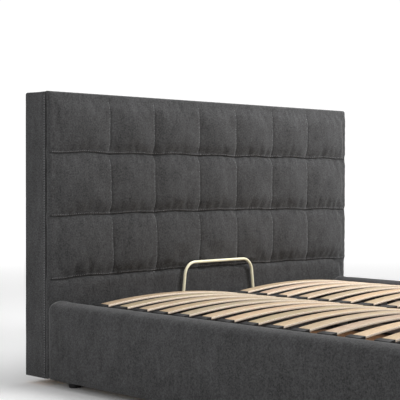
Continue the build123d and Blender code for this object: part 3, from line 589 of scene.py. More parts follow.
def block(name: str, low: Sequence[float], high: Sequence[float]) -> bpy.types.Object:
    """Add a block between two corners and open it in edit mode.

    Args:
        name: The piece's name.
        low: Its lowest corner.
        high: Its highest corner.

    Returns:
        The block.
    """
    deselect()
    centre = [(a + b) / 2 for a, b in zip(low, high)]
    bpy.ops.mesh.primitive_cube_add(size=1.0, location=centre, scale=[b - a for a, b in zip(low, high)])
    piece = bpy.context.object
    piece.name = name
    bpy.ops.object.transform_apply(location=True, rotation=True, scale=True)
    edit(piece)
    return piece


def cut_along(piece: bpy.types.Object, axis: int, cuts: int, least: float) -> None:
    """Cut across every edge that runs along an axis and is at least so long.

    Args:
        piece: The piece, open in edit mode.
        axis: The edges' axis.
        cuts: How many cuts.
        least: The shortest edge that is cut.
    """
    pick(piece, Part.EDGES, lambda e: runs(e, axis) and e.calc_length() > least)
    bpy.ops.mesh.subdivide(number_cuts=cuts)


def close_ends(piece: bpy.types.Object) -> None:
    """Close every open loop of a piece with one flat face."""
    edit(piece)
    bpy.ops.mesh.fill_holes(sides=0)
    finish_edit()


def copies(name: str, pattern: bpy.types.Object, places: Iterable[Matrix]) -> bpy.types.Object:
    """Copy a pattern, each copy with its own mesh, join the copies and delete the pattern.

    Args:
        name: The new piece's name.
        pattern: What is copied.
        places: Where each copy goes.

    Returns:
        The joined piece.
    """
    made = []
    for place in places:
        twin = pattern.copy()
        twin.data = pattern.data.copy()
        twin.data.transform(place)
        if place.determinant() < 0:
            twin.data.flip_normals()
        bpy.context.scene.collection.objects.link(twin)
        made.append(twin)
    bpy.data.objects.remove(pattern)
    deselect()
    for twin in made:
        twin.select_set(True)
    bpy.context.view_layer.objects.active = made[0]
    bpy.ops.object.join()
    made[0].name = name
    return made[0]


def seat(place: Vector, run: Vector, out: Vector) -> Matrix:
    """Stand a pattern at a place, its Z along a run and its Y outwards.

    Args:
        place: Where its origin goes.
        run: The way along.
        out: The way outwards.

    Returns:
        The placing matrix.
    """
    upright = run.normalized()
    outward = (out - out.project(upright)).normalized()
    turn = Matrix((outward.cross(upright), outward, upright)).transposed().to_4x4()
    return Matrix.Translation(place) @ turn


def apply_modifier(piece: bpy.types.Object, kind: str, **settings: object) -> None:
    """Add a modifier with its settings and apply it.

    Args:
        piece: The piece to change.
        kind: The modifier's type.
        settings: Its properties.
    """
    make_active(piece)
    modifier = piece.modifiers.new(kind.lower(), kind)
    for key, value in settings.items():
        setattr(modifier, key, value)
    bpy.ops.object.modifier_apply(modifier=modifier.name)


def bevel_corners(piece: bpy.types.Object, width: float, angle: float) -> None:
    """Round every edge of a piece that is sharper than an angle in degrees."""
    apply_modifier(piece, "BEVEL", width=width, segments=2, limit_method="ANGLE",
                   angle_limit=math.radians(angle))


def smooth(piece: bpy.types.Object, angle: float = 180.0) -> None:
    """Shade a piece smooth up to an angle in degrees between faces."""
    make_active(piece)
    if angle >= 180:
        bpy.ops.object.shade_smooth()
    else:
        bpy.ops.object.shade_smooth_by_angle(angle=math.radians(angle))


def ripple(x: float, y: float, z: float = 0.0) -> float:
    """Smooth repeatable unevenness between about -1 and 1."""
    return noise.noise(Vector((x, y, z)))


def clamped(share: float) -> float:
    """A share held between none and all."""
    return min(1.0, max(0.0, share))


def spaced(low: float, high: float, count: int) -> list[float]:
    """Places from low to high, both of them too, in so many equal steps."""
    return [low + (high - low) * k / count for k in range(count + 1)]


def dress(piece: bpy.types.Object, finish: Finish, body: str, slot: str, *nodes: str) -> None:
    """Give a new piece its material and body, and hide what it stands for.

    Args:
        piece: The new piece.
        finish: Its finish.
        body: The body that it moves with.
        slot: The record's material slot; not used.
        nodes: The CAD nodes that it replaces.
    """
    piece.data.materials.clear()
    piece.data.materials.append(finish.material())
    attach(piece, body)
    if nodes:
        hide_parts(*nodes)
    log.info("%s: %d faces, on %s", piece.name, len(piece.data.polygons), body)


@dataclass
class Pad:
    """One padded piece for the cloth run, with how firmly its points are held."""

    piece: bpy.types.Object
    held: dict[float, list[int]]
    pressure: float
    growth: float
    cap: float
    shape: Optional[Callable[[Vector], Vector]] = None
    evened: Optional[Callable[[Vector], float]] = None


@dataclass
class ClothRun:
    """Settles all padded pieces together as cloth over springy foam."""

    frames: int = 20
    quality: int = 6
    mass: float = 0.35
    stretch: float = 12.0
    shear: float = 4.0
    bending: float = 0.6
    pads: list[Pad] = field(default_factory=list)

    def prepare(self, pad: Pad) -> bpy.types.Modifier:
        """Add the cloth modifier to one pad.

        Args:
            pad: The pad.

        Returns:
            The modifier.
        """
        group = pad.piece.vertex_groups.new(name="held")
        for weight, numbers in pad.held.items():
            group.add(numbers, weight, "REPLACE")
        cloth = pad.piece.modifiers.new("cloth", "CLOTH")
        settings = cloth.settings
        settings.quality = self.quality
        settings.mass = self.mass
        settings.tension_stiffness = settings.compression_stiffness = self.stretch
        settings.shear_stiffness = self.shear
        settings.bending_stiffness = self.bending
        settings.vertex_group_mass = group.name
        settings.use_pressure = True
        settings.uniform_pressure_force = pad.pressure
        settings.shrink_min = -pad.growth
        settings.effector_weights.gravity = 0.0
        cloth.collision_settings.use_collision = False
        cloth.collision_settings.use_self_collision = False
        cloth.point_cache.frame_start = 1
        cloth.point_cache.frame_end = self.frames
        return cloth

    def run(self) -> None:
        """Simulate, apply, hold each point within its cap, even out, subdivide once and shape."""
        starts = {pad.piece.name: [v.co.copy() for v in pad.piece.data.vertices] for pad in self.pads}
        modifiers = {pad.piece.name: self.prepare(pad) for pad in self.pads}
        for frame_number in range(1, self.frames + 1):
            bpy.context.scene.frame_set(frame_number)
        for pad in self.pads:
            make_active(pad.piece)
            bpy.ops.object.modifier_apply(modifier=modifiers[pad.piece.name].name)
            pad.piece.vertex_groups.clear()
            for vertex, start in zip(pad.piece.data.vertices, starts[pad.piece.name]):
                step = vertex.co - start
                if step.length > pad.cap:
                    step *= pad.cap / step.length
                vertex.co = start + step
        bpy.context.scene.frame_set(1)
        for pad in self.pads:
            if pad.evened:
                self.even_out(pad)
            apply_modifier(pad.piece, "SUBSURF", levels=1, render_levels=1)
            close_ends(pad.piece)
            if pad.shape:
                for vertex in pad.piece.data.vertices:
                    vertex.co = pad.shape(vertex.co)
            smooth(pad.piece)
            log.info("%s settled: %d faces", pad.piece.name, len(pad.piece.data.polygons))

    def even_out(self, pad: Pad) -> None:
        """Soften creases of one settled pad, where it asks for that.

        Args:
            pad: The pad.
        """
        group = pad.piece.vertex_groups.new(name="evened")
        for vertex in pad.piece.data.vertices:
            group.add([vertex.index], pad.evened(vertex.co), "REPLACE")
        apply_modifier(pad.piece, "SMOOTH", factor=0.5, iterations=12, use_x=False, use_z=False,
                       vertex_group=group.name)
        pad.piece.vertex_groups.clear()


@dataclass
class Stitching:
    """Top-stitches, modelled once and laid along seams."""

    length: float = 0.0062
    thickness: float = 0.0015
    pitch: float = 0.0095
    # Shares of the length that lie flat and that each end takes, and of the thickness that an end dips.
    flat_share: float = 0.5
    end_share: float = 0.25
    dip_share: float = 0.6

    def stitch(self) -> bpy.types.Object:
        """Twist one stitch: a short round of thread whose ends dip into the cloth.

        Returns:
            The stitch, along Z, with its back towards -Y.
        """
        deselect()
        bpy.ops.mesh.primitive_cylinder_add(vertices=6, radius=self.thickness / 2,
                                            depth=self.length * self.flat_share)
        piece = bpy.context.object
        piece.name = "stitch"
        edit(piece)
        for way in (-1, 1):
            dip = (0, -self.thickness * self.dip_share, way * self.length * self.end_share)
            draw_out(piece, 2, way, dip, (0.5, 0.5, 0.5))
        finish_edit()
        return piece

    def sew(self, name: str, places: Iterable[Matrix]) -> bpy.types.Object:
        """Lay the stitches of one seam or more.

        Args:
            name: The new piece's name.
            places: Where each stitch goes.

        Returns:
            All of them as one piece.
        """
        piece = copies(name, self.stitch(), places)
        smooth(piece, 60)
        return piece


def grid_lines(stops: Sequence[float], step: float, closer: Sequence[float]) -> list[float]:
    """Grid lines through every stop, with closer lines on both sides of each.

    Args:
        stops: The seams and outer edges, in order.
        step: The spacing between seams.
        closer: Distances from a stop of the closer lines.

    Returns:
        All lines in order.
    """
    lines: list[float] = []
    for low, high in zip(stops, stops[1:]):
        start, end = low + closer[-1], high - closer[-1]
        lines.append(low)
        lines += [low + d for d in closer]
        lines += spaced(start, end, max(1, round((end - start) / step)))[1:-1]
        lines += [high - d for d in reversed(closer)]
    lines.append(stops[-1])
    return lines


def puff(share: float, power: float) -> float:
    """How full a padded square is at a share of its width: nothing at its seams, one in the middle."""
    return max(0.0, 1 - abs(2 * share - 1) ** power)


def near(distance: float, reach: float) -> float:
    """One on a line, fading to nothing a few reaches away."""
    return math.exp(-(distance / reach) ** 2)


@dataclass
class Headboard:
    """The sewn cover, the boxed border, their stitches and the back's staples."""

    half_width: float = 0.900
    top: float = 1.130
    bottom: float = 0.030
    corner_radius: float = 0.010
    rim_radius: float = 0.012
    seam_proud: float = 0.021
    cell_rise: float = 0.0225
    plain_rise: float = 0.005
    column_pitch: float = 0.241
    inner_columns: int = 5
    row_seams: tuple[float, ...] = (0.406, 0.6515, 0.897)
    row_bow: tuple[tuple[float, float], ...] = ((0.0045, 0.0070), (-0.0020, 0.0095), (-0.0020, 0.0010))
    column_lean: tuple[tuple[float, float], ...] = (
        (-0.004, 0.020), (-0.006, 0.013), (0.014, 0.020), (0.0, 0.010), (0.001, -0.002), (0.0, 0.006))
    back_depth: float = 0.127
    border_thickness: float = 0.010
    near_seam: tuple[float, ...] = (0.0025, 0.006, 0.012, 0.020, 0.031)
    grid_step: float = 0.0125
    # How the foam fills out: powers of the curves across and up a square, the rise left along its sides,
    # and how the plain part rises from its edge.
    across_power: float = 1.3
    upward_lean: float = 0.78
    upward_power: float = 2.2
    side_rise: float = 0.005
    plain_fade: float = 0.02
    plain_power: float = 0.6
    # Heights of the broad and fine unevenness of the seams and of the cloth between them.
    level_scallop: float = 0.0018
    level_ripples: tuple[float, float] = (0.0022, 0.0008)
    upright_ripples: tuple[float, float] = (0.0045, 0.0026)
    cloth_ripples: tuple[float, float] = (0.0014, 0.0009)
    edge_fade: float = 0.03
    # How firmly the plain part, the upright seams and the outer edge are held, where one is fixed.
    plain_hold: float = 0.08
    upright_hold: float = 0.35
    edge_hold: float = 0.6
    edge_width: float = 0.022
    # How far from an upright seam its crease is evened out, and how far from a level one it isn't.
    crease_reach: float = 0.020
    crossing_reach: float = 0.015
    top_fade: float = 0.02
    # How far from a seam line the grid still follows its bow or lean.
    drawn_reach: float = 0.050
    # Depth or rise, then reach, of the marks that the sewing leaves beside a seam.
    level_groove: tuple[float, float] = (0.0042, 0.0026)
    level_welt: tuple[float, float] = (0.0023, 0.0032)
    upright_groove: tuple[float, float] = (0.0006, 0.0040)
    crossing_dimple: tuple[float, float] = (0.0085, 0.026)
    dimple_aside: float = 0.005
    dimple_above: float = 0.008
    welt_above: float = 0.0055
    stitch_above: float = 0.0058
    stitch_aside: float = 0.0045
    # The upright seams' stitches are this many times as far apart as the level ones'.
    upright_spread: float = 2.2
    border_stitch_back: float = 0.0085
    # The marks fade out near the border.
    mark_gap: float = 0.003
    mark_fade: float = 0.008
    level_pucker: tuple[float, float] = (0.0010, 0.020)
    upright_pucker: tuple[float, float] = (0.0016, 0.019)
    # Behind the stop bar the cover stands no further than this in front of its edge seam.
    bar_half_width: float = 0.27
    bar_top: float = 0.530
    bar_clearance: float = 0.0362
    bar_fades: tuple[float, float] = (0.03, 0.075)
    # Points that are less than this in front of the edge seam are held by the frame.
    held_u: float = 0.0125
    border_gap: float = 0.0006
    border_round: float = 0.002
    # How deep the border's cloth sinks midway and unevenly, and its puckers' depth and reach from the edge.
    border_hollow: float = 0.0010
    border_ripple: float = 0.0008
    border_pucker: tuple[float, float] = (0.0007, 0.013)
    staple_half: Vector = field(default_factory=lambda: Vector((0.005, 0.0004, 0.0006)))
    staple_inset: float = 0.024
    staple_lift: float = 0.0004
    hem_inset: float = 0.012
    rim_steps: tuple[tuple[float, float], ...] = (
        (0.0194, 0.006), (0.015, 0.0104), (0.009, 0.012), (0.0016, 0.012), (0.0, 0.010), (-0.0008, 0.0022),
        (-0.015, 0.0016))

    def column_seams(self) -> list[float]:
        """The X of each upright seam."""
        return [(i - self.inner_columns / 2) * self.column_pitch for i in range(self.inner_columns + 1)]

    def stops(self) -> tuple[list[float], list[float]]:
        """The seams and outer edges of the front, across and upwards."""
        half = self.half_width - self.rim_radius
        rows = [self.bottom + self.rim_radius, *self.row_seams, self.top - self.rim_radius]
        return [-half, *self.column_seams(), half], rows

    def row_wander(self, z: float, x: float) -> float:
        """How far a level seam strays upwards at a place along it."""
        lift, bow = self.row_bow[self.row_seams.index(z)]
        scallop = self.level_scallop * math.cos(2 * math.pi * x / self.column_pitch)
        sag = scallop + lift + bow * (1 - (x / self.half_width) ** 2)
        broad, fine = self.level_ripples
        return sag + broad * ripple(x * 5, z * 7) + fine * ripple(x * 22, z * 5)

    def column_wander(self, x: float, z: float) -> float:
        """How far an upright seam strays sideways at a place along it."""
        top, foot = self.column_lean[round(x / self.column_pitch + self.inner_columns / 2)]
        lean = top + (foot - top) * (self.top - z) / (self.top - self.row_seams[0])
        broad, fine = self.upright_ripples
        return lean + broad * ripple(x * 3, z * 4.5, 7.0) + fine * ripple(x * 5, z * 17, 2.0)

    def nearest(self, x: float, z: float) -> tuple[float, float]:
        """The X of the nearest upright seam and the Z of the nearest level one."""
        column = min(self.column_seams(), key=lambda c: abs(x - c))
        return column, min(self.row_seams, key=lambda r: abs(z - r))

    def seams_near(self, x: float, z: float) -> tuple[float, float]:
        """Distances to the nearest upright seam and the nearest level seam.

        Args:
            x: Place across the bed.
            z: Height.

        Returns:
            Sideways distance, then upward distance, both with their sign.
        """
        column, row = self.nearest(x, z)
        aside = x - column - self.column_wander(column, z)
        above = z - row - self.row_wander(row, x)
        return (aside if z > self.row_seams[0] else 1.0), above

    def rise(self, x: float, z: float) -> float:
        """How far the foam stands in front of the seams at a place."""
        columns, rows = self.stops()
        if z < rows[1]:
            edge = min(x - columns[0], columns[-1] - x, z - rows[0], rows[1] - z)
            return self.plain_rise * clamped(edge / self.plain_fade) ** self.plain_power
        low_x, high_x = next((a, b) for a, b in zip(columns, columns[1:]) if x <= b + 1e-9)
        low_z, high_z = next((a, b) for a, b in zip(rows, rows[1:]) if z <= b + 1e-9)
        across = max(0.0, math.sin(math.pi * (x - low_x) / (high_x - low_x))) ** self.across_power
        share = max(0.0, (z - low_z) / (high_z - low_z))
        upward = puff(share ** self.upward_lean, self.upward_power)
        drawn = self.side_rise * (1 - across) * min(1.0, upward * 2)
        return self.cell_rise * across * upward + drawn

    def front(self, lines: tuple[list[float], list[float]]) -> tuple[bpy.types.Object, list[int], list[int]]:
        """Raise the sewn squares on a grid whose lines follow the seams.

        Args:
            lines: The grid's lines, across and upwards.

        Returns:
            The grid, and the numbers of its points on a level seam and on an upright one.
        """
        xs, zs = lines
        deselect()
        bpy.ops.mesh.primitive_grid_add(x_subdivisions=len(xs) - 1, y_subdivisions=len(zs) - 1, size=2.0,
                                        rotation=(math.pi / 2, 0, 0))
        piece = bpy.context.object
        piece.name = "headboard_cover"
        bpy.ops.object.transform_apply(location=True, rotation=True, scale=True)
        level, upright = [], []
        broad, fine = self.cloth_ripples
        for vertex in piece.data.vertices:
            x = xs[round((vertex.co.x + 1) / 2 * (len(xs) - 1))]
            z = zs[round((vertex.co.z + 1) / 2 * (len(zs) - 1))]
            column, row = self.nearest(x, z)
            above_plain = z > self.row_seams[0] - CLOSE
            if abs(z - row) < 0.0001:
                level.append(vertex.index)
            elif above_plain and abs(x - column) < 0.0001:
                upright.append(vertex.index)
            edge = min(1.0, (self.half_width - self.rim_radius - abs(x)) / self.edge_fade,
                       (self.top - self.rim_radius - z) / self.edge_fade,
                       (z - self.bottom - self.rim_radius) / self.edge_fade)
            drawn_x = edge * near(x - column, self.drawn_reach)
            drawn_z = edge * near(z - row, self.drawn_reach)
            moved_x = x + drawn_x * self.column_wander(column, z) * above_plain
            moved_z = z + drawn_z * self.row_wander(row, x)
            uneven = fine * ripple(x * 26, z * 26) + broad * ripple(x * 9, z * 9, 4.0)
            u = self.seam_proud + self.rise(x, z) + edge * uneven
            vertex.co = Vector((moved_x, along(u), moved_z))
        return piece, level, upright

    def cover(self) -> Pad:
        """Build the sewn front with its rim turned back over the frame.

        Returns:
            The pad, for the cloth run.
        """
        columns, rows = self.stops()
        across, upwards = (grid_lines(stops, self.grid_step, self.near_seam) for stops in (columns, rows))
        piece, level, upright = self.front((across, upwards))
        half, tall = columns[-1], (rows[-1] - rows[0]) / 2
        centre = Vector((0, 0, (rows[-1] + rows[0]) / 2))
        edit(piece)
        pick(piece, Part.EDGES, lambda e: e.is_boundary)
        last_u, last_out = self.seam_proud, 0.0
        for u, out in self.rim_steps:
            bpy.ops.mesh.extrude_edges_move(TRANSFORM_OT_translate={"value": (0, last_u - u, 0)})
            grow = ((half + out) / (half + last_out), 1.0, (tall + out) / (tall + last_out))
            bpy.ops.transform.resize(value=grow, center_override=centre)
            last_u, last_out = u, out
        finish_edit()
        firm = [v.index for v in piece.data.vertices if v.co.y > along(self.held_u)]
        ahead = [v for v in piece.data.vertices if v.co.y <= along(self.held_u)]
        loose = [v.index for v in ahead if v.co.z < self.row_seams[0] - 0.01]
        edge = [v.index for v in ahead if min(half - abs(v.co.x), rows[-1] - v.co.z) < self.edge_width]
        held = {self.plain_hold: loose, self.upright_hold: upright, self.edge_hold: edge, 1.0: firm + level}
        return Pad(piece, held, pressure=3.0, growth=0.030, cap=0.006, shape=self.sewn_shape,
                   evened=self.crease)

    def crease(self, place: Vector) -> float:
        """How far the crease along an upright seam is evened out at a place."""
        aside, above = self.seams_near(place.x, place.z)
        inside = clamped((self.top - self.top_fade - place.z) / self.top_fade)
        return inside * near(aside, self.crease_reach) * (1 - near(above, self.crossing_reach))

    def sewn_shape(self, place: Vector) -> Vector:
        """Draw the seams in, pucker the cloth beside them and keep clear of the stop bar.

        Args:
            place: A point of the settled cover.

        Returns:
            Where it ends up.
        """
        x, z = place.x, place.z
        u = SEAM_Y - place.y
        if u > self.seam_proud - 0.008:
            aside, above = self.seams_near(x, z)
            inside_x = clamped((self.half_width - self.mark_gap - abs(x)) / self.mark_fade)
            inside_z = clamped((self.top - self.mark_gap - z) / self.mark_fade)
            edge = min(inside_x, inside_z)
            groove, groove_reach = self.level_groove
            welt, welt_reach = self.level_welt
            crease, crease_reach = self.upright_groove
            dimple, dimple_reach = self.crossing_dimple
            level = near(above, groove_reach)
            raised = near(above - self.welt_above, welt_reach)
            upright = near(aside, crease_reach)
            u -= edge * (groove * level - welt * raised + crease * upright)
            crossing = math.hypot(aside - self.dimple_aside, above - self.dimple_above)
            u -= edge * dimple * near(crossing, dimple_reach)
            pucker, pucker_reach = self.level_pucker
            u += edge * pucker * near(above, pucker_reach) * ripple(x * 55, z * 9, 1.0)
            pucker, pucker_reach = self.upright_pucker
            u += edge * pucker * near(aside, pucker_reach) * ripple(x * 9, z * 55, 5.0)
        fade_x, fade_z = self.bar_fades
        pressed = clamped((self.bar_half_width - abs(x)) / fade_x) * clamped((self.bar_top - z) / fade_z)
        u -= pressed * max(0.0, u - self.bar_clearance)
        if u > 0.012:
            over_x = abs(x) - (self.half_width - self.corner_radius)
            over_z = z - (self.top - self.corner_radius)
            if over_x > 0 and over_z > 0:
                pull = max(over_x, over_z) / max(1e-6, math.hypot(over_x, over_z))
                x = math.copysign(self.half_width - self.corner_radius + over_x * pull, x)
                z = self.top - self.corner_radius + over_z * pull
        return Vector((x, along(u), z))

    def border(self) -> bpy.types.Object:
        """Build the cloth-covered strip round the sides and the top.

        Returns:
            The strip.
        """
        half, depth = self.half_width, self.back_depth
        piece = block("headboard_border_cover", (-half, along(-self.border_gap), self.bottom),
                      (half, along(-depth), self.top))
        round_off(piece, self.corner_radius, 5, lambda e: runs(e, 1) and middle(e).z > self.top - CLOSE)
        pick(piece, Part.FACES,
             lambda f: faces_way(f, 1) or (faces_way(f, 2) and middle(f).z < self.bottom + CLOSE))
        bpy.ops.mesh.delete(type="FACE")
        cut_along(piece, 1, 10, 0.05)
        cut_along(piece, 2, 80, 0.5)
        cut_along(piece, 0, 130, 0.5)
        finish_edit()
        apply_modifier(piece, "SOLIDIFY", thickness=self.border_thickness - 0.0001, offset=-1.0,
                       use_even_offset=True)
        bevel_corners(piece, self.border_round, 50)
        apply_modifier(piece, "SUBSURF", levels=1, render_levels=1)
        for vertex in piece.data.vertices:
            vertex.co = self.soft_border(vertex.co)
        smooth(piece)
        return piece

    def soft_border(self, place: Vector) -> Vector:
        """Let the border's cloth follow the soft edge of the board below it.

        Args:
            place: A point of the border.

        Returns:
            Where it ends up.
        """
        back = place.y - SEAM_Y
        pucker, reach = self.border_pucker
        hollow = self.border_hollow * math.sin(math.pi * clamped(back / self.back_depth))
        hollow += self.border_ripple * ripple(place.x * 14, back * 30, place.z * 14)
        hollow += pucker * near(back - 0.004, reach) * ripple(place.x * 70, 5.0, place.z * 70)
        hollow = max(0.0, hollow)
        if self.half_width - abs(place.x) < 0.002:
            place.x -= math.copysign(hollow, place.x)
        elif self.top - place.z < 0.002:
            place.z -= hollow
        return place

    def border_path(self, step: float) -> list[tuple[Vector, Vector, Vector]]:
        """Places along the border's front edge.

        Args:
            step: The spacing.

        Returns:
            Each place with its way along and its way outwards.
        """
        radius = self.corner_radius
        straight = self.half_width - radius
        high = self.top - radius
        across, upright = Vector((1, 0, 0)), Vector((0, 0, 1))
        places = []
        for z in spaced(self.bottom, high, round((high - self.bottom) / step))[1:-1]:
            places += [(Vector((way * self.half_width, 0, z)), upright, way * across) for way in (-1, 1)]
        for x in spaced(-straight, straight, round(2 * straight / step)):
            places.append((Vector((x, 0, self.top)), across, upright))
        return places

    def border_stitches(self, stitching: Stitching) -> bpy.types.Object:
        """Sew the top-stitching along the front edge of the border.

        Args:
            stitching: The stitch to use.

        Returns:
            All stitches as one piece.
        """
        places = []
        for place, run, out in self.border_path(stitching.pitch):
            ground = place + Vector((0, along(-self.border_stitch_back), 0)) - out * 0.0003
            places.append(seat(ground, run, out))
        return stitching.sew("headboard_border_stitches", places)

    def seam_stitches(self, cover: bpy.types.Object, stitching: Stitching) -> bpy.types.Object:
        """Sew the top-stitching above each level seam and beside each upright one.

        Args:
            cover: The settled cover.
            stitching: The stitch to use.

        Returns:
            All stitches as one piece.
        """
        edge = self.half_width - self.rim_radius - 0.004
        lines = []
        stops = spaced(-edge, edge, round(2 * edge / stitching.pitch))
        for row in self.row_seams:
            lines.append([(x, row + self.row_wander(row, x) + self.stitch_above) for x in stops])
        low, high = self.row_seams[0] + 0.006, self.top - self.rim_radius
        stops = spaced(low, high, round((high - low) / (stitching.pitch * self.upright_spread)))
        for column in self.column_seams():
            lines.append([(column + self.column_wander(column, z) - self.stitch_aside, z) for z in stops])
        places = []
        for line in lines:
            for (x, z), (next_x, next_z) in zip(line, line[1:]):
                hit, spot, normal, _ = cover.ray_cast(Vector((x, along(0.2), z)), Vector((0, 1, 0)))
                if hit:
                    run = Vector((next_x - x, 0, next_z - z))
                    places.append(seat(spot - normal * 0.0002, run - run.project(normal), normal))
        return stitching.sew("headboard_seam_stitches", places)

    def staples(self) -> bpy.types.Object:
        """Staple the dust cloth round the edge of the back.

        Returns:
            All staples as one piece.
        """
        piece = block("staple", -self.staple_half, self.staple_half)
        for way in (-1, 1):
            draw_out(piece, 0, way, (way * 0.0007, -0.0004, 0), (1.0, 0.6, 0.8))
        finish_edit()
        half, high = self.half_width - self.staple_inset, self.top - self.staple_inset
        low = self.bottom + self.hem_inset
        back = along(-self.back_depth) + self.staple_lift
        places = []
        for x in spaced(-half, half, 32):
            places += [Matrix.Translation((x, back, low)), Matrix.Translation((x, back, high))]
        upright = Matrix.Rotation(math.radians(90), 4, "Y")
        for z in spaced(low, high, 20)[1:-1]:
            places += [Matrix.Translation((side * half, back, z)) @ upright for side in (-1, 1)]
        piece = copies("back_cloth_staples", piece, places)
        smooth(piece, 40)
        return piece

    def build(self, run: ClothRun) -> bpy.types.Object:
        """Build and dress the cover, the border and the staples.

        Args:
            run: The cloth run that the cover joins.

        Returns:
            The cover.
        """
        pad = self.cover()
        run.pads.append(pad)
        dress(pad.piece, VELOUR, "root", "velour", "headboard_padded_front")
        dress(self.border(), VELOUR, "root", "velour", "headboard_border")
        dress(self.staples(), STEEL_STAPLE, "root", "zinc_steel")
        return pad.piece

    def sew(self, cover: bpy.types.Object) -> None:
        """Sew the stitches on the settled cover and the border.

        Args:
            cover: The settled cover.
        """
        stitching = Stitching()
        dress(self.border_stitches(stitching), THREAD, "root", "velour")
        dress(self.seam_stitches(cover, stitching), THREAD, "root", "velour")


@dataclass
class PaddedRails:
    """The covers of the two side rails and the footboard, each with a softly rounded top."""

    half_well: float = 0.800
    thickness: float = 0.108
    bulge: float = 0.004
    crown: float = 0.329
    crown_rise: float = 0.002
    round_width: float = 0.050
    round_height: float = 0.033
    inner_radius: float = 0.018
    corner_radius: float = 0.012
    hem_radius: float = 0.004
    bottom: float = 0.0304
    head_u: float = 0.0304
    foot_u: float = 2.035
    step: float = 0.017
    end_gap: float = 0.0006
    # Shares of the depth from which the cloth swells, and of the bulge that the swelling takes.
    swell_from: float = 0.75
    swell_share: float = 0.7
    unevenness: float = 0.0014
    # Points nearer than these to the well, the hem and the ends are fixed; the rest is held loosely.
    well_hold: float = 0.012
    hem_hold: float = 0.006
    end_hold: float = 0.004
    loose_hold: float = 0.03

    def rounded_edges(self, piece: bpy.types.Object, low: Vector, high: Vector, side_rail: bool) -> None:
        """Round the top, the hem and, on the footboard, the outer corners.

        Args:
            piece: The block, open in edit mode.
            low: Its lowest corner.
            high: Its highest corner.
            side_rail: Whether it runs along Y and is open at its ends.
        """
        if side_rail:
            round_off(piece, self.round_width, 8, lambda e: middle(e).z > high.z - CLOSE and runs(e, 1))
            round_off(piece, self.hem_radius, 2, lambda e: middle(e).z < low.z + CLOSE and runs(e, 1))
            return
        round_off(piece, self.corner_radius, 3, lambda e: runs(e, 2) and middle(e).y < low.y + CLOSE)
        round_off(piece, self.round_width, 8,
                  lambda e: middle(e).z > high.z - CLOSE and middle(e).y < high.y - CLOSE)
        round_off(piece, self.inner_radius, 4,
                  lambda e: runs(e, 0) and middle(e).z > high.z - CLOSE and middle(e).y > high.y - CLOSE)
        round_off(piece, self.hem_radius, 2, lambda e: middle(e).z < low.z + CLOSE and not runs(e, 2))

    def cover(self, name: str, low: Vector, high: Vector, side_rail: bool) -> bpy.types.Object:
        """Shape one cover: a block with rounded edges, cut into a fine grid.

        Args:
            name: The piece's name.
            low: Its lowest corner.
            high: Its highest corner.
            side_rail: Whether it runs along Y and is open at its ends.

        Returns:
            The cover.
        """
        piece = block(name, low, high)
        if side_rail:
            pick(piece, Part.FACES, lambda f: faces_way(f, 1))
            bpy.ops.mesh.delete(type="FACE")
        self.rounded_edges(piece, low, high, side_rail)
        cut_along(piece, 2, 14, 0.1)
        cut_along(piece, 0 if side_rail else 1, 4, 0.04)
        cut_along(piece, 1 if side_rail else 0, round(max(high - low) / self.step), 0.5)
        finish_edit()
        spring = high.z - self.round_width
        for vertex in piece.data.vertices:
            z = vertex.co.z
            if z > spring:
                vertex.co.z = high.z - (high.z - z) * self.round_height / self.round_width
            else:
                share = (z - low.z) / (spring - low.z)
                vertex.co.z = low.z + share * (high.z - self.round_height - low.z)
        return piece

    def settle(self, piece: bpy.types.Object, depth: Callable[[Vector], float], out: Vector) -> Pad:
        """Bulge one cover's outer face and ready it for the cloth run.

        Args:
            piece: The cover.
            depth: Gives a point's distance from the well.
            out: The way outwards.

        Returns:
            The pad, for the cloth run.
        """
        side = self.thickness - self.bulge
        straight = self.crown - self.crown_rise - self.round_height - self.bottom
        held: dict[float, list[int]] = {1.0: [], self.loose_hold: []}
        for vertex in piece.data.vertices:
            place = vertex.co
            deep = depth(place)
            inner = deep < self.well_hold and place.z < self.crown - self.round_height
            firm = inner or place.z < self.bottom + self.hem_hold
            share = clamped((place.z - self.bottom) / straight)
            uneven = self.unevenness * ripple(place.x * 11 + place.y * 11, place.z * 13)
            if deep > side * self.swell_from:
                swell = self.bulge * self.swell_share * math.sin(math.pi * share * 0.5) + uneven * share
                vertex.co = place + out * swell
            to_end = min(abs(place.y - along(self.head_u)), abs(place.y - along(self.foot_u)))
            firm = firm or to_end < self.end_hold
            held[1.0 if firm else self.loose_hold].append(vertex.index)
        return Pad(piece, held, pressure=1.4, growth=0.014, cap=0.004)

    def build(self, run: ClothRun) -> None:
        """Build and dress the three covers.

        Args:
            run: The cloth run that the covers join.
        """
        side = self.thickness - self.bulge
        shoulder = self.crown - self.crown_rise
        far = self.half_well + side
        for name, way in (("left", -1), ("right", 1)):
            ends = sorted((way * self.half_well, way * far))
            low = Vector((ends[0], along(self.foot_u - self.end_gap), self.bottom))
            high = Vector((ends[1], along(self.head_u), shoulder))
            piece = self.cover("side_rail_cover_" + name, low, high, True)
            pad = self.settle(piece, lambda p, way=way: p.x * way - self.half_well, Vector((way, 0, 0)))
            run.pads.append(pad)
            dress(piece, VELOUR, "root", "velour", "side_rail_padding_" + name)
        piece = self.cover("footboard_cover", Vector((-far, along(self.foot_u + side), self.bottom)),
                           Vector((far, along(self.foot_u), shoulder)), False)
        pad = self.settle(piece, lambda p: along(self.foot_u) - p.y, Vector((0, -1, 0)))
        run.pads.append(pad)
        dress(piece, VELOUR, "root", "velour", "footboard_padding")


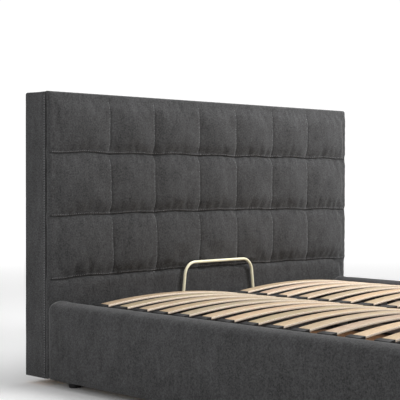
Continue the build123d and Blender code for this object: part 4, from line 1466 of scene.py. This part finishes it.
@dataclass
class SlatBase:
    """The bent laminated slats and the moulded holders that carry their ends."""

    inner_x: float = 0.014
    outer_x: float = 0.768
    arch: float = 0.0245
    end_height: float = 0.312
    width: float = 0.053
    thickness: float = 0.008
    count: int = 17
    first_u: float = 0.1575
    pitch: float = 0.11066
    edge_round: float = 0.0018
    holder_base: float = 0.298
    holder_height: float = 0.016
    holder_half: float = 0.029
    holder_room: float = 0.0004
    holder_skin: float = 0.0012
    holder_round: float = 0.0007
    pocket_wall: float = 0.0012
    # The flanks are recessed inside a rim of this width, to this share of their distance.
    flank_rim: float = 0.0016
    flank_share: float = 0.975
    middle_reach: float = 0.032
    side_inner: float = 0.7425
    side_outer: float = 0.7705

    def arc(self) -> tuple[float, float, float, float]:
        """Where the slat's arc has its middle, how wide it is and how far it turns each way."""
        half = (self.outer_x - self.inner_x) / 2
        radius = (half ** 2 + self.arch ** 2) / (2 * self.arch)
        middle_z = self.end_height + self.arch - radius
        return (self.inner_x + self.outer_x) / 2, middle_z, radius, math.asin(half / radius)

    def slat(self) -> bpy.types.Object:
        """Bend one slat of the right-hand column, at the middle of the model's length.

        Returns:
            The slat.
        """
        middle_x, middle_z, radius, turn = self.arc()
        reach = radius - self.thickness / 2
        deselect()
        start = (middle_x - reach * math.sin(turn), 0.0, middle_z + reach * math.cos(turn))
        bpy.ops.mesh.primitive_plane_add(size=1.0, location=start, rotation=(0, math.pi / 2 - turn, 0))
        piece = bpy.context.object
        piece.scale = (self.thickness, self.width, 1.0)
        bpy.ops.object.transform_apply(location=True, rotation=True, scale=True)
        edit(piece)
        # The spin operator turns the other way round its axis, so the axis points towards the foot.
        bpy.ops.mesh.spin(steps=22, angle=2 * turn, center=(middle_x, 0.0, middle_z), axis=(0, -1, 0))
        finish_edit()
        bevel_corners(piece, self.edge_round, 40)
        return piece

    def row(self, name: str, pattern: bpy.types.Object, mirrored: bool) -> bpy.types.Object:
        """Copy a slat or a holder down the bed.

        Args:
            name: The piece's name.
            pattern: The slat or holder.
            mirrored: Whether the copies are turned to the left-hand side.

        Returns:
            The row as one piece.
        """
        turn = Matrix.Scale(-1, 4, (1, 0, 0)) if mirrored else Matrix.Identity(4)
        ys = [along(self.first_u + k * self.pitch) for k in range(self.count)]
        piece = copies(name, pattern, [Matrix.Translation((0, y, 0)) @ turn for y in ys])
        smooth(piece, 35)
        return piece

    def slat_top(self, x: float) -> float:
        """Height of a slat's upper face at a distance from the bed's middle."""
        middle_x, middle_z, radius, _ = self.arc()
        return middle_z + math.sqrt(radius ** 2 - (x - middle_x) ** 2)

    def pocket(self, piece: bpy.types.Object, way: int, mouth: float, depth: float) -> None:
        """Hollow one end of a holder for the slat.

        Args:
            piece: The holder, open in edit mode.
            way: The side that the mouth looks to, -1 or 1.
            mouth: Distance of the mouth from the bed's middle.
            depth: How deep the pocket is.
        """
        room = self.holder_room
        top = self.slat_top(abs(mouth)) + room
        pick(piece, Part.FACES, lambda f: f.normal.x * way > 0.9)
        bpy.ops.mesh.inset(thickness=self.pocket_wall, use_even_offset=True)
        shape = bmesh.from_edit_mesh(piece.data)
        for vertex in [v for v in shape.verts if v.select]:
            high = vertex.co.z > self.holder_base + self.holder_height / 2
            vertex.co.y = math.copysign(self.width / 2 + room, vertex.co.y)
            vertex.co.z = top if high else top - self.thickness - 2 * room
        bmesh.update_edit_mesh(piece.data)
        drop = self.slat_top(abs(mouth)) - self.slat_top(abs(mouth) - way * math.copysign(depth, mouth))
        bpy.ops.mesh.extrude_region_move(TRANSFORM_OT_translate={"value": (-way * depth, 0, -drop)})

    def holder(self, low: float, high: float, depth: float, mouths: dict[int, float]) -> bpy.types.Object:
        """Mould one holder: a block with a pocket for each slat end, recessed flanks and rounded edges.

        Args:
            low: Where it starts across the bed.
            high: Where it ends.
            depth: How deep a pocket is.
            mouths: The place of each pocket's mouth, by the side that it looks to.

        Returns:
            The holder, at the middle of the model's length.
        """
        base, half = self.holder_base, self.holder_half
        piece = block("holder", (low, -half, base), (high, half, base + self.holder_height))
        if len(mouths) > 1:
            pick(piece, Part.EDGES, lambda e: runs(e, 0))
            bpy.ops.mesh.subdivide(number_cuts=3)
        shape = bmesh.from_edit_mesh(piece.data)
        for vertex in [v for v in shape.verts if v.co.z > base + 0.01]:
            roof = self.slat_top(max(self.inner_x, abs(vertex.co.x)))
            vertex.co.z = roof + self.holder_room + self.holder_skin
        bmesh.update_edit_mesh(piece.data)
        for way, mouth in mouths.items():
            self.pocket(piece, way, mouth, depth)
        pick(piece, Part.FACES, lambda f: faces_way(f, 1) and abs(abs(middle(f).y) - half) < 0.0005)
        bpy.ops.mesh.inset(thickness=self.flank_rim, use_even_offset=True, use_individual=True)
        bpy.ops.transform.resize(value=(1.0, self.flank_share, 1.0), center_override=(0, 0, base))
        finish_edit()
        bevel_corners(piece, self.holder_round, 40)
        return piece

    def middle_holder(self) -> bpy.types.Object:
        """The double holder, with two pockets back to back."""
        reach = self.middle_reach
        return self.holder(-reach, reach, reach - self.inner_x + self.holder_room, {-1: -reach, 1: reach})

    def side_holder(self) -> bpy.types.Object:
        """The right-hand single holder for the slat's outer end."""
        low = self.side_inner
        return self.holder(low, self.side_outer, self.outer_x - low + self.holder_room, {-1: low})

    def build(self) -> None:
        """Build and dress both columns and their holders."""
        for side in ("left", "right"):
            left = side == "left"
            slats = self.row("birch_slats_" + side, self.slat(), left)
            dress(slats, BIRCH, "lift_base", "birch", "slats_" + side)
            holders = self.row("moulded_side_holders_" + side, self.side_holder(), left)
            dress(holders, BLACK_NYLON, "lift_base", "black_plastic", "side_slat_holders_" + side)
        holders = self.row("moulded_middle_holders", self.middle_holder(), False)
        dress(holders, BLACK_NYLON, "lift_base", "black_plastic", "middle_slat_holders")


@dataclass
class FrameParts:
    """Finishes of the CAD solids that show as they are."""

    finishes: dict[str, Finish] = field(default_factory=lambda: {
        "headboard_posts": PINE_UPRIGHT, "headboard_edge_strips": PINE_UPRIGHT,
        "headboard_cross_rails": PINE_ACROSS, "headboard_front_board": CHIPBOARD,
        "headboard_back_board": DUST_CLOTH, "headboard_feet": BLACK_NYLON, "side_rail_board": CHIPBOARD,
        "side_rail_feet": BLACK_NYLON, "footboard_board": CHIPBOARD, "footboard_feet": BLACK_NYLON,
        "corner_bracket": ZINC, "corner_bolts": ZINC, "storage_floor": HARDBOARD,
        "floor_middle_beam": PINE_ALONG, "floor_battens": PINE_ALONG, "floor_beam_feet": BLACK_NYLON,
        "base_frame": GRAPHITE_COAT, "frame_end_caps": BLACK_NYLON, "mattress_stop_bar": IVORY_COAT,
        "mattress_stop_plates": IVORY_COAT, "mattress_stop_bolts": ZINC, "lift_bar": ZINC,
        "rear_link": ZINC, "front_link": ZINC, "rail_plate": ZINC, "rail_pivot_pins": ZINC,
        "gas_spring_cylinder": BLACK_COAT, "gas_spring_rod": CHROME, "gas_spring_stud": ZINC,
        "base_rest_blocks": PINE_ALONG, "base_rest_pads": BLACK_RUBBER})

    def build(self, nodes: dict[str, bpy.types.Object]) -> None:
        """Give every CAD node the finish of the longest name that it starts with.

        Args:
            nodes: The CAD nodes by name.
        """
        for name, piece in nodes.items():
            match = max((key for key in self.finishes if name.startswith(key)), key=len, default=None)
            if match is None:
                continue
            material = self.finishes[match].material()
            if not piece.material_slots:
                piece.data.materials.append(material)
            for place in piece.material_slots:
                place.material = material
            log.info("%s: %s", name, material.name)


@dataclass(frozen=True)
class Lamp:
    """One soft square light: where it hangs, what it points at, its watts and the length of its side."""

    name: str
    place: tuple[float, float, float]
    aim: tuple[float, float, float]
    power: float
    size: float

    def hang(self) -> None:
        """Add the light to the scene."""
        data = bpy.data.lights.new(self.name, "AREA")
        data.energy = self.power
        data.size = self.size
        lamp = bpy.data.objects.new(self.name, data)
        lamp.location = self.place
        lamp.rotation_euler = (Vector(self.aim) - Vector(self.place)).to_track_quat("-Z", "Y").to_euler()
        bpy.context.scene.collection.objects.link(lamp)


@dataclass
class Studio:
    """The pale floor, the soft lights and the camera at the photograph's angle."""

    camera_place: tuple[float, float, float] = (-3.5544, -2.5420, 0.7907)
    yaw: float = 0.7754
    down: float = math.radians(0.99)
    roll: float = -0.0018
    lens: float = 103.66
    sky_low: float = 0.08
    sky_high: float = 0.56
    seen_directly: float = 1.05
    lamps: tuple[Lamp, ...] = (
        Lamp("key", (1.7, -0.7, 2.4), (0.3, 1.0, 0.8), power=70.0, size=0.7),
        Lamp("overhead", (0.8, 0.1, 3.9), (0.3, -0.1, 0.0), power=114.0, size=2.6),
        Lamp("fill", (-4.5, 0.6, 1.6), (-0.5, 0.8, 0.6), power=54.0, size=2.0),
        Lamp("front", (1.4, -4.8, 1.5), (0.3, 0.2, 0.35), power=66.0, size=2.0))

    def floor(self) -> None:
        """Lay the floor."""
        deselect()
        bpy.ops.mesh.primitive_plane_add(size=80.0, location=(0, 0, 0))
        plane = bpy.context.object
        plane.name = "studio_floor"
        plane.data.materials.append(FLOOR.material())

    def world(self) -> None:
        """Fill the room with even white light, brighter where it is seen directly."""
        world = bpy.data.worlds.new("studio")
        bpy.context.scene.world = world
        world.use_nodes = True
        sky = Surface(world.node_tree, world.node_tree.nodes["Background"])
        height = sky.add("SeparateXYZ", {"Vector": sky.add("TexCoord", out="Generated")}, "Z")
        overhead = sky.add("MapRange", {"Value": height, "From Min": -0.1, "From Max": 0.8,
                                        "To Min": self.sky_low, "To Max": self.sky_high})
        seen = sky.add("LightPath", out="Is Camera Ray")
        strength = sky.add("Mix", {0: seen, 2: overhead, 3: self.seen_directly}, data_type="FLOAT")
        sky.end({"Color": (1.0, 1.0, 1.0, 1.0), "Strength": strength})

    def camera(self) -> None:
        """Set the camera where the photograph was taken from."""
        data = bpy.data.cameras.new("camera")
        data.lens = self.lens
        data.sensor_width = 36.0
        data.clip_end = 200.0
        eye = bpy.data.objects.new("camera", data)
        eye.location = self.camera_place
        eye.rotation_euler = (math.pi / 2 - self.down, self.roll, -self.yaw)
        bpy.context.scene.collection.objects.link(eye)
        bpy.context.scene.camera = eye

    def build(self) -> None:
        """Set up the whole studio."""
        self.floor()
        self.world()
        for lamp in self.lamps:
            lamp.hang()
        self.camera()
        bpy.context.scene.view_settings.view_transform = "Standard"


def main() -> None:
    """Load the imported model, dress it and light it."""
    logging.basicConfig(level=logging.INFO, format="%(name)s %(message)s")
    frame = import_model()
    Studio().build()
    FrameParts().build(frame["nodes"])
    run = ClothRun()
    headboard = Headboard()
    cover = headboard.build(run)
    PaddedRails().build(run)
    SlatBase().build()
    run.run()
    headboard.sew(cover)


if __name__ == "__main__":
    main()
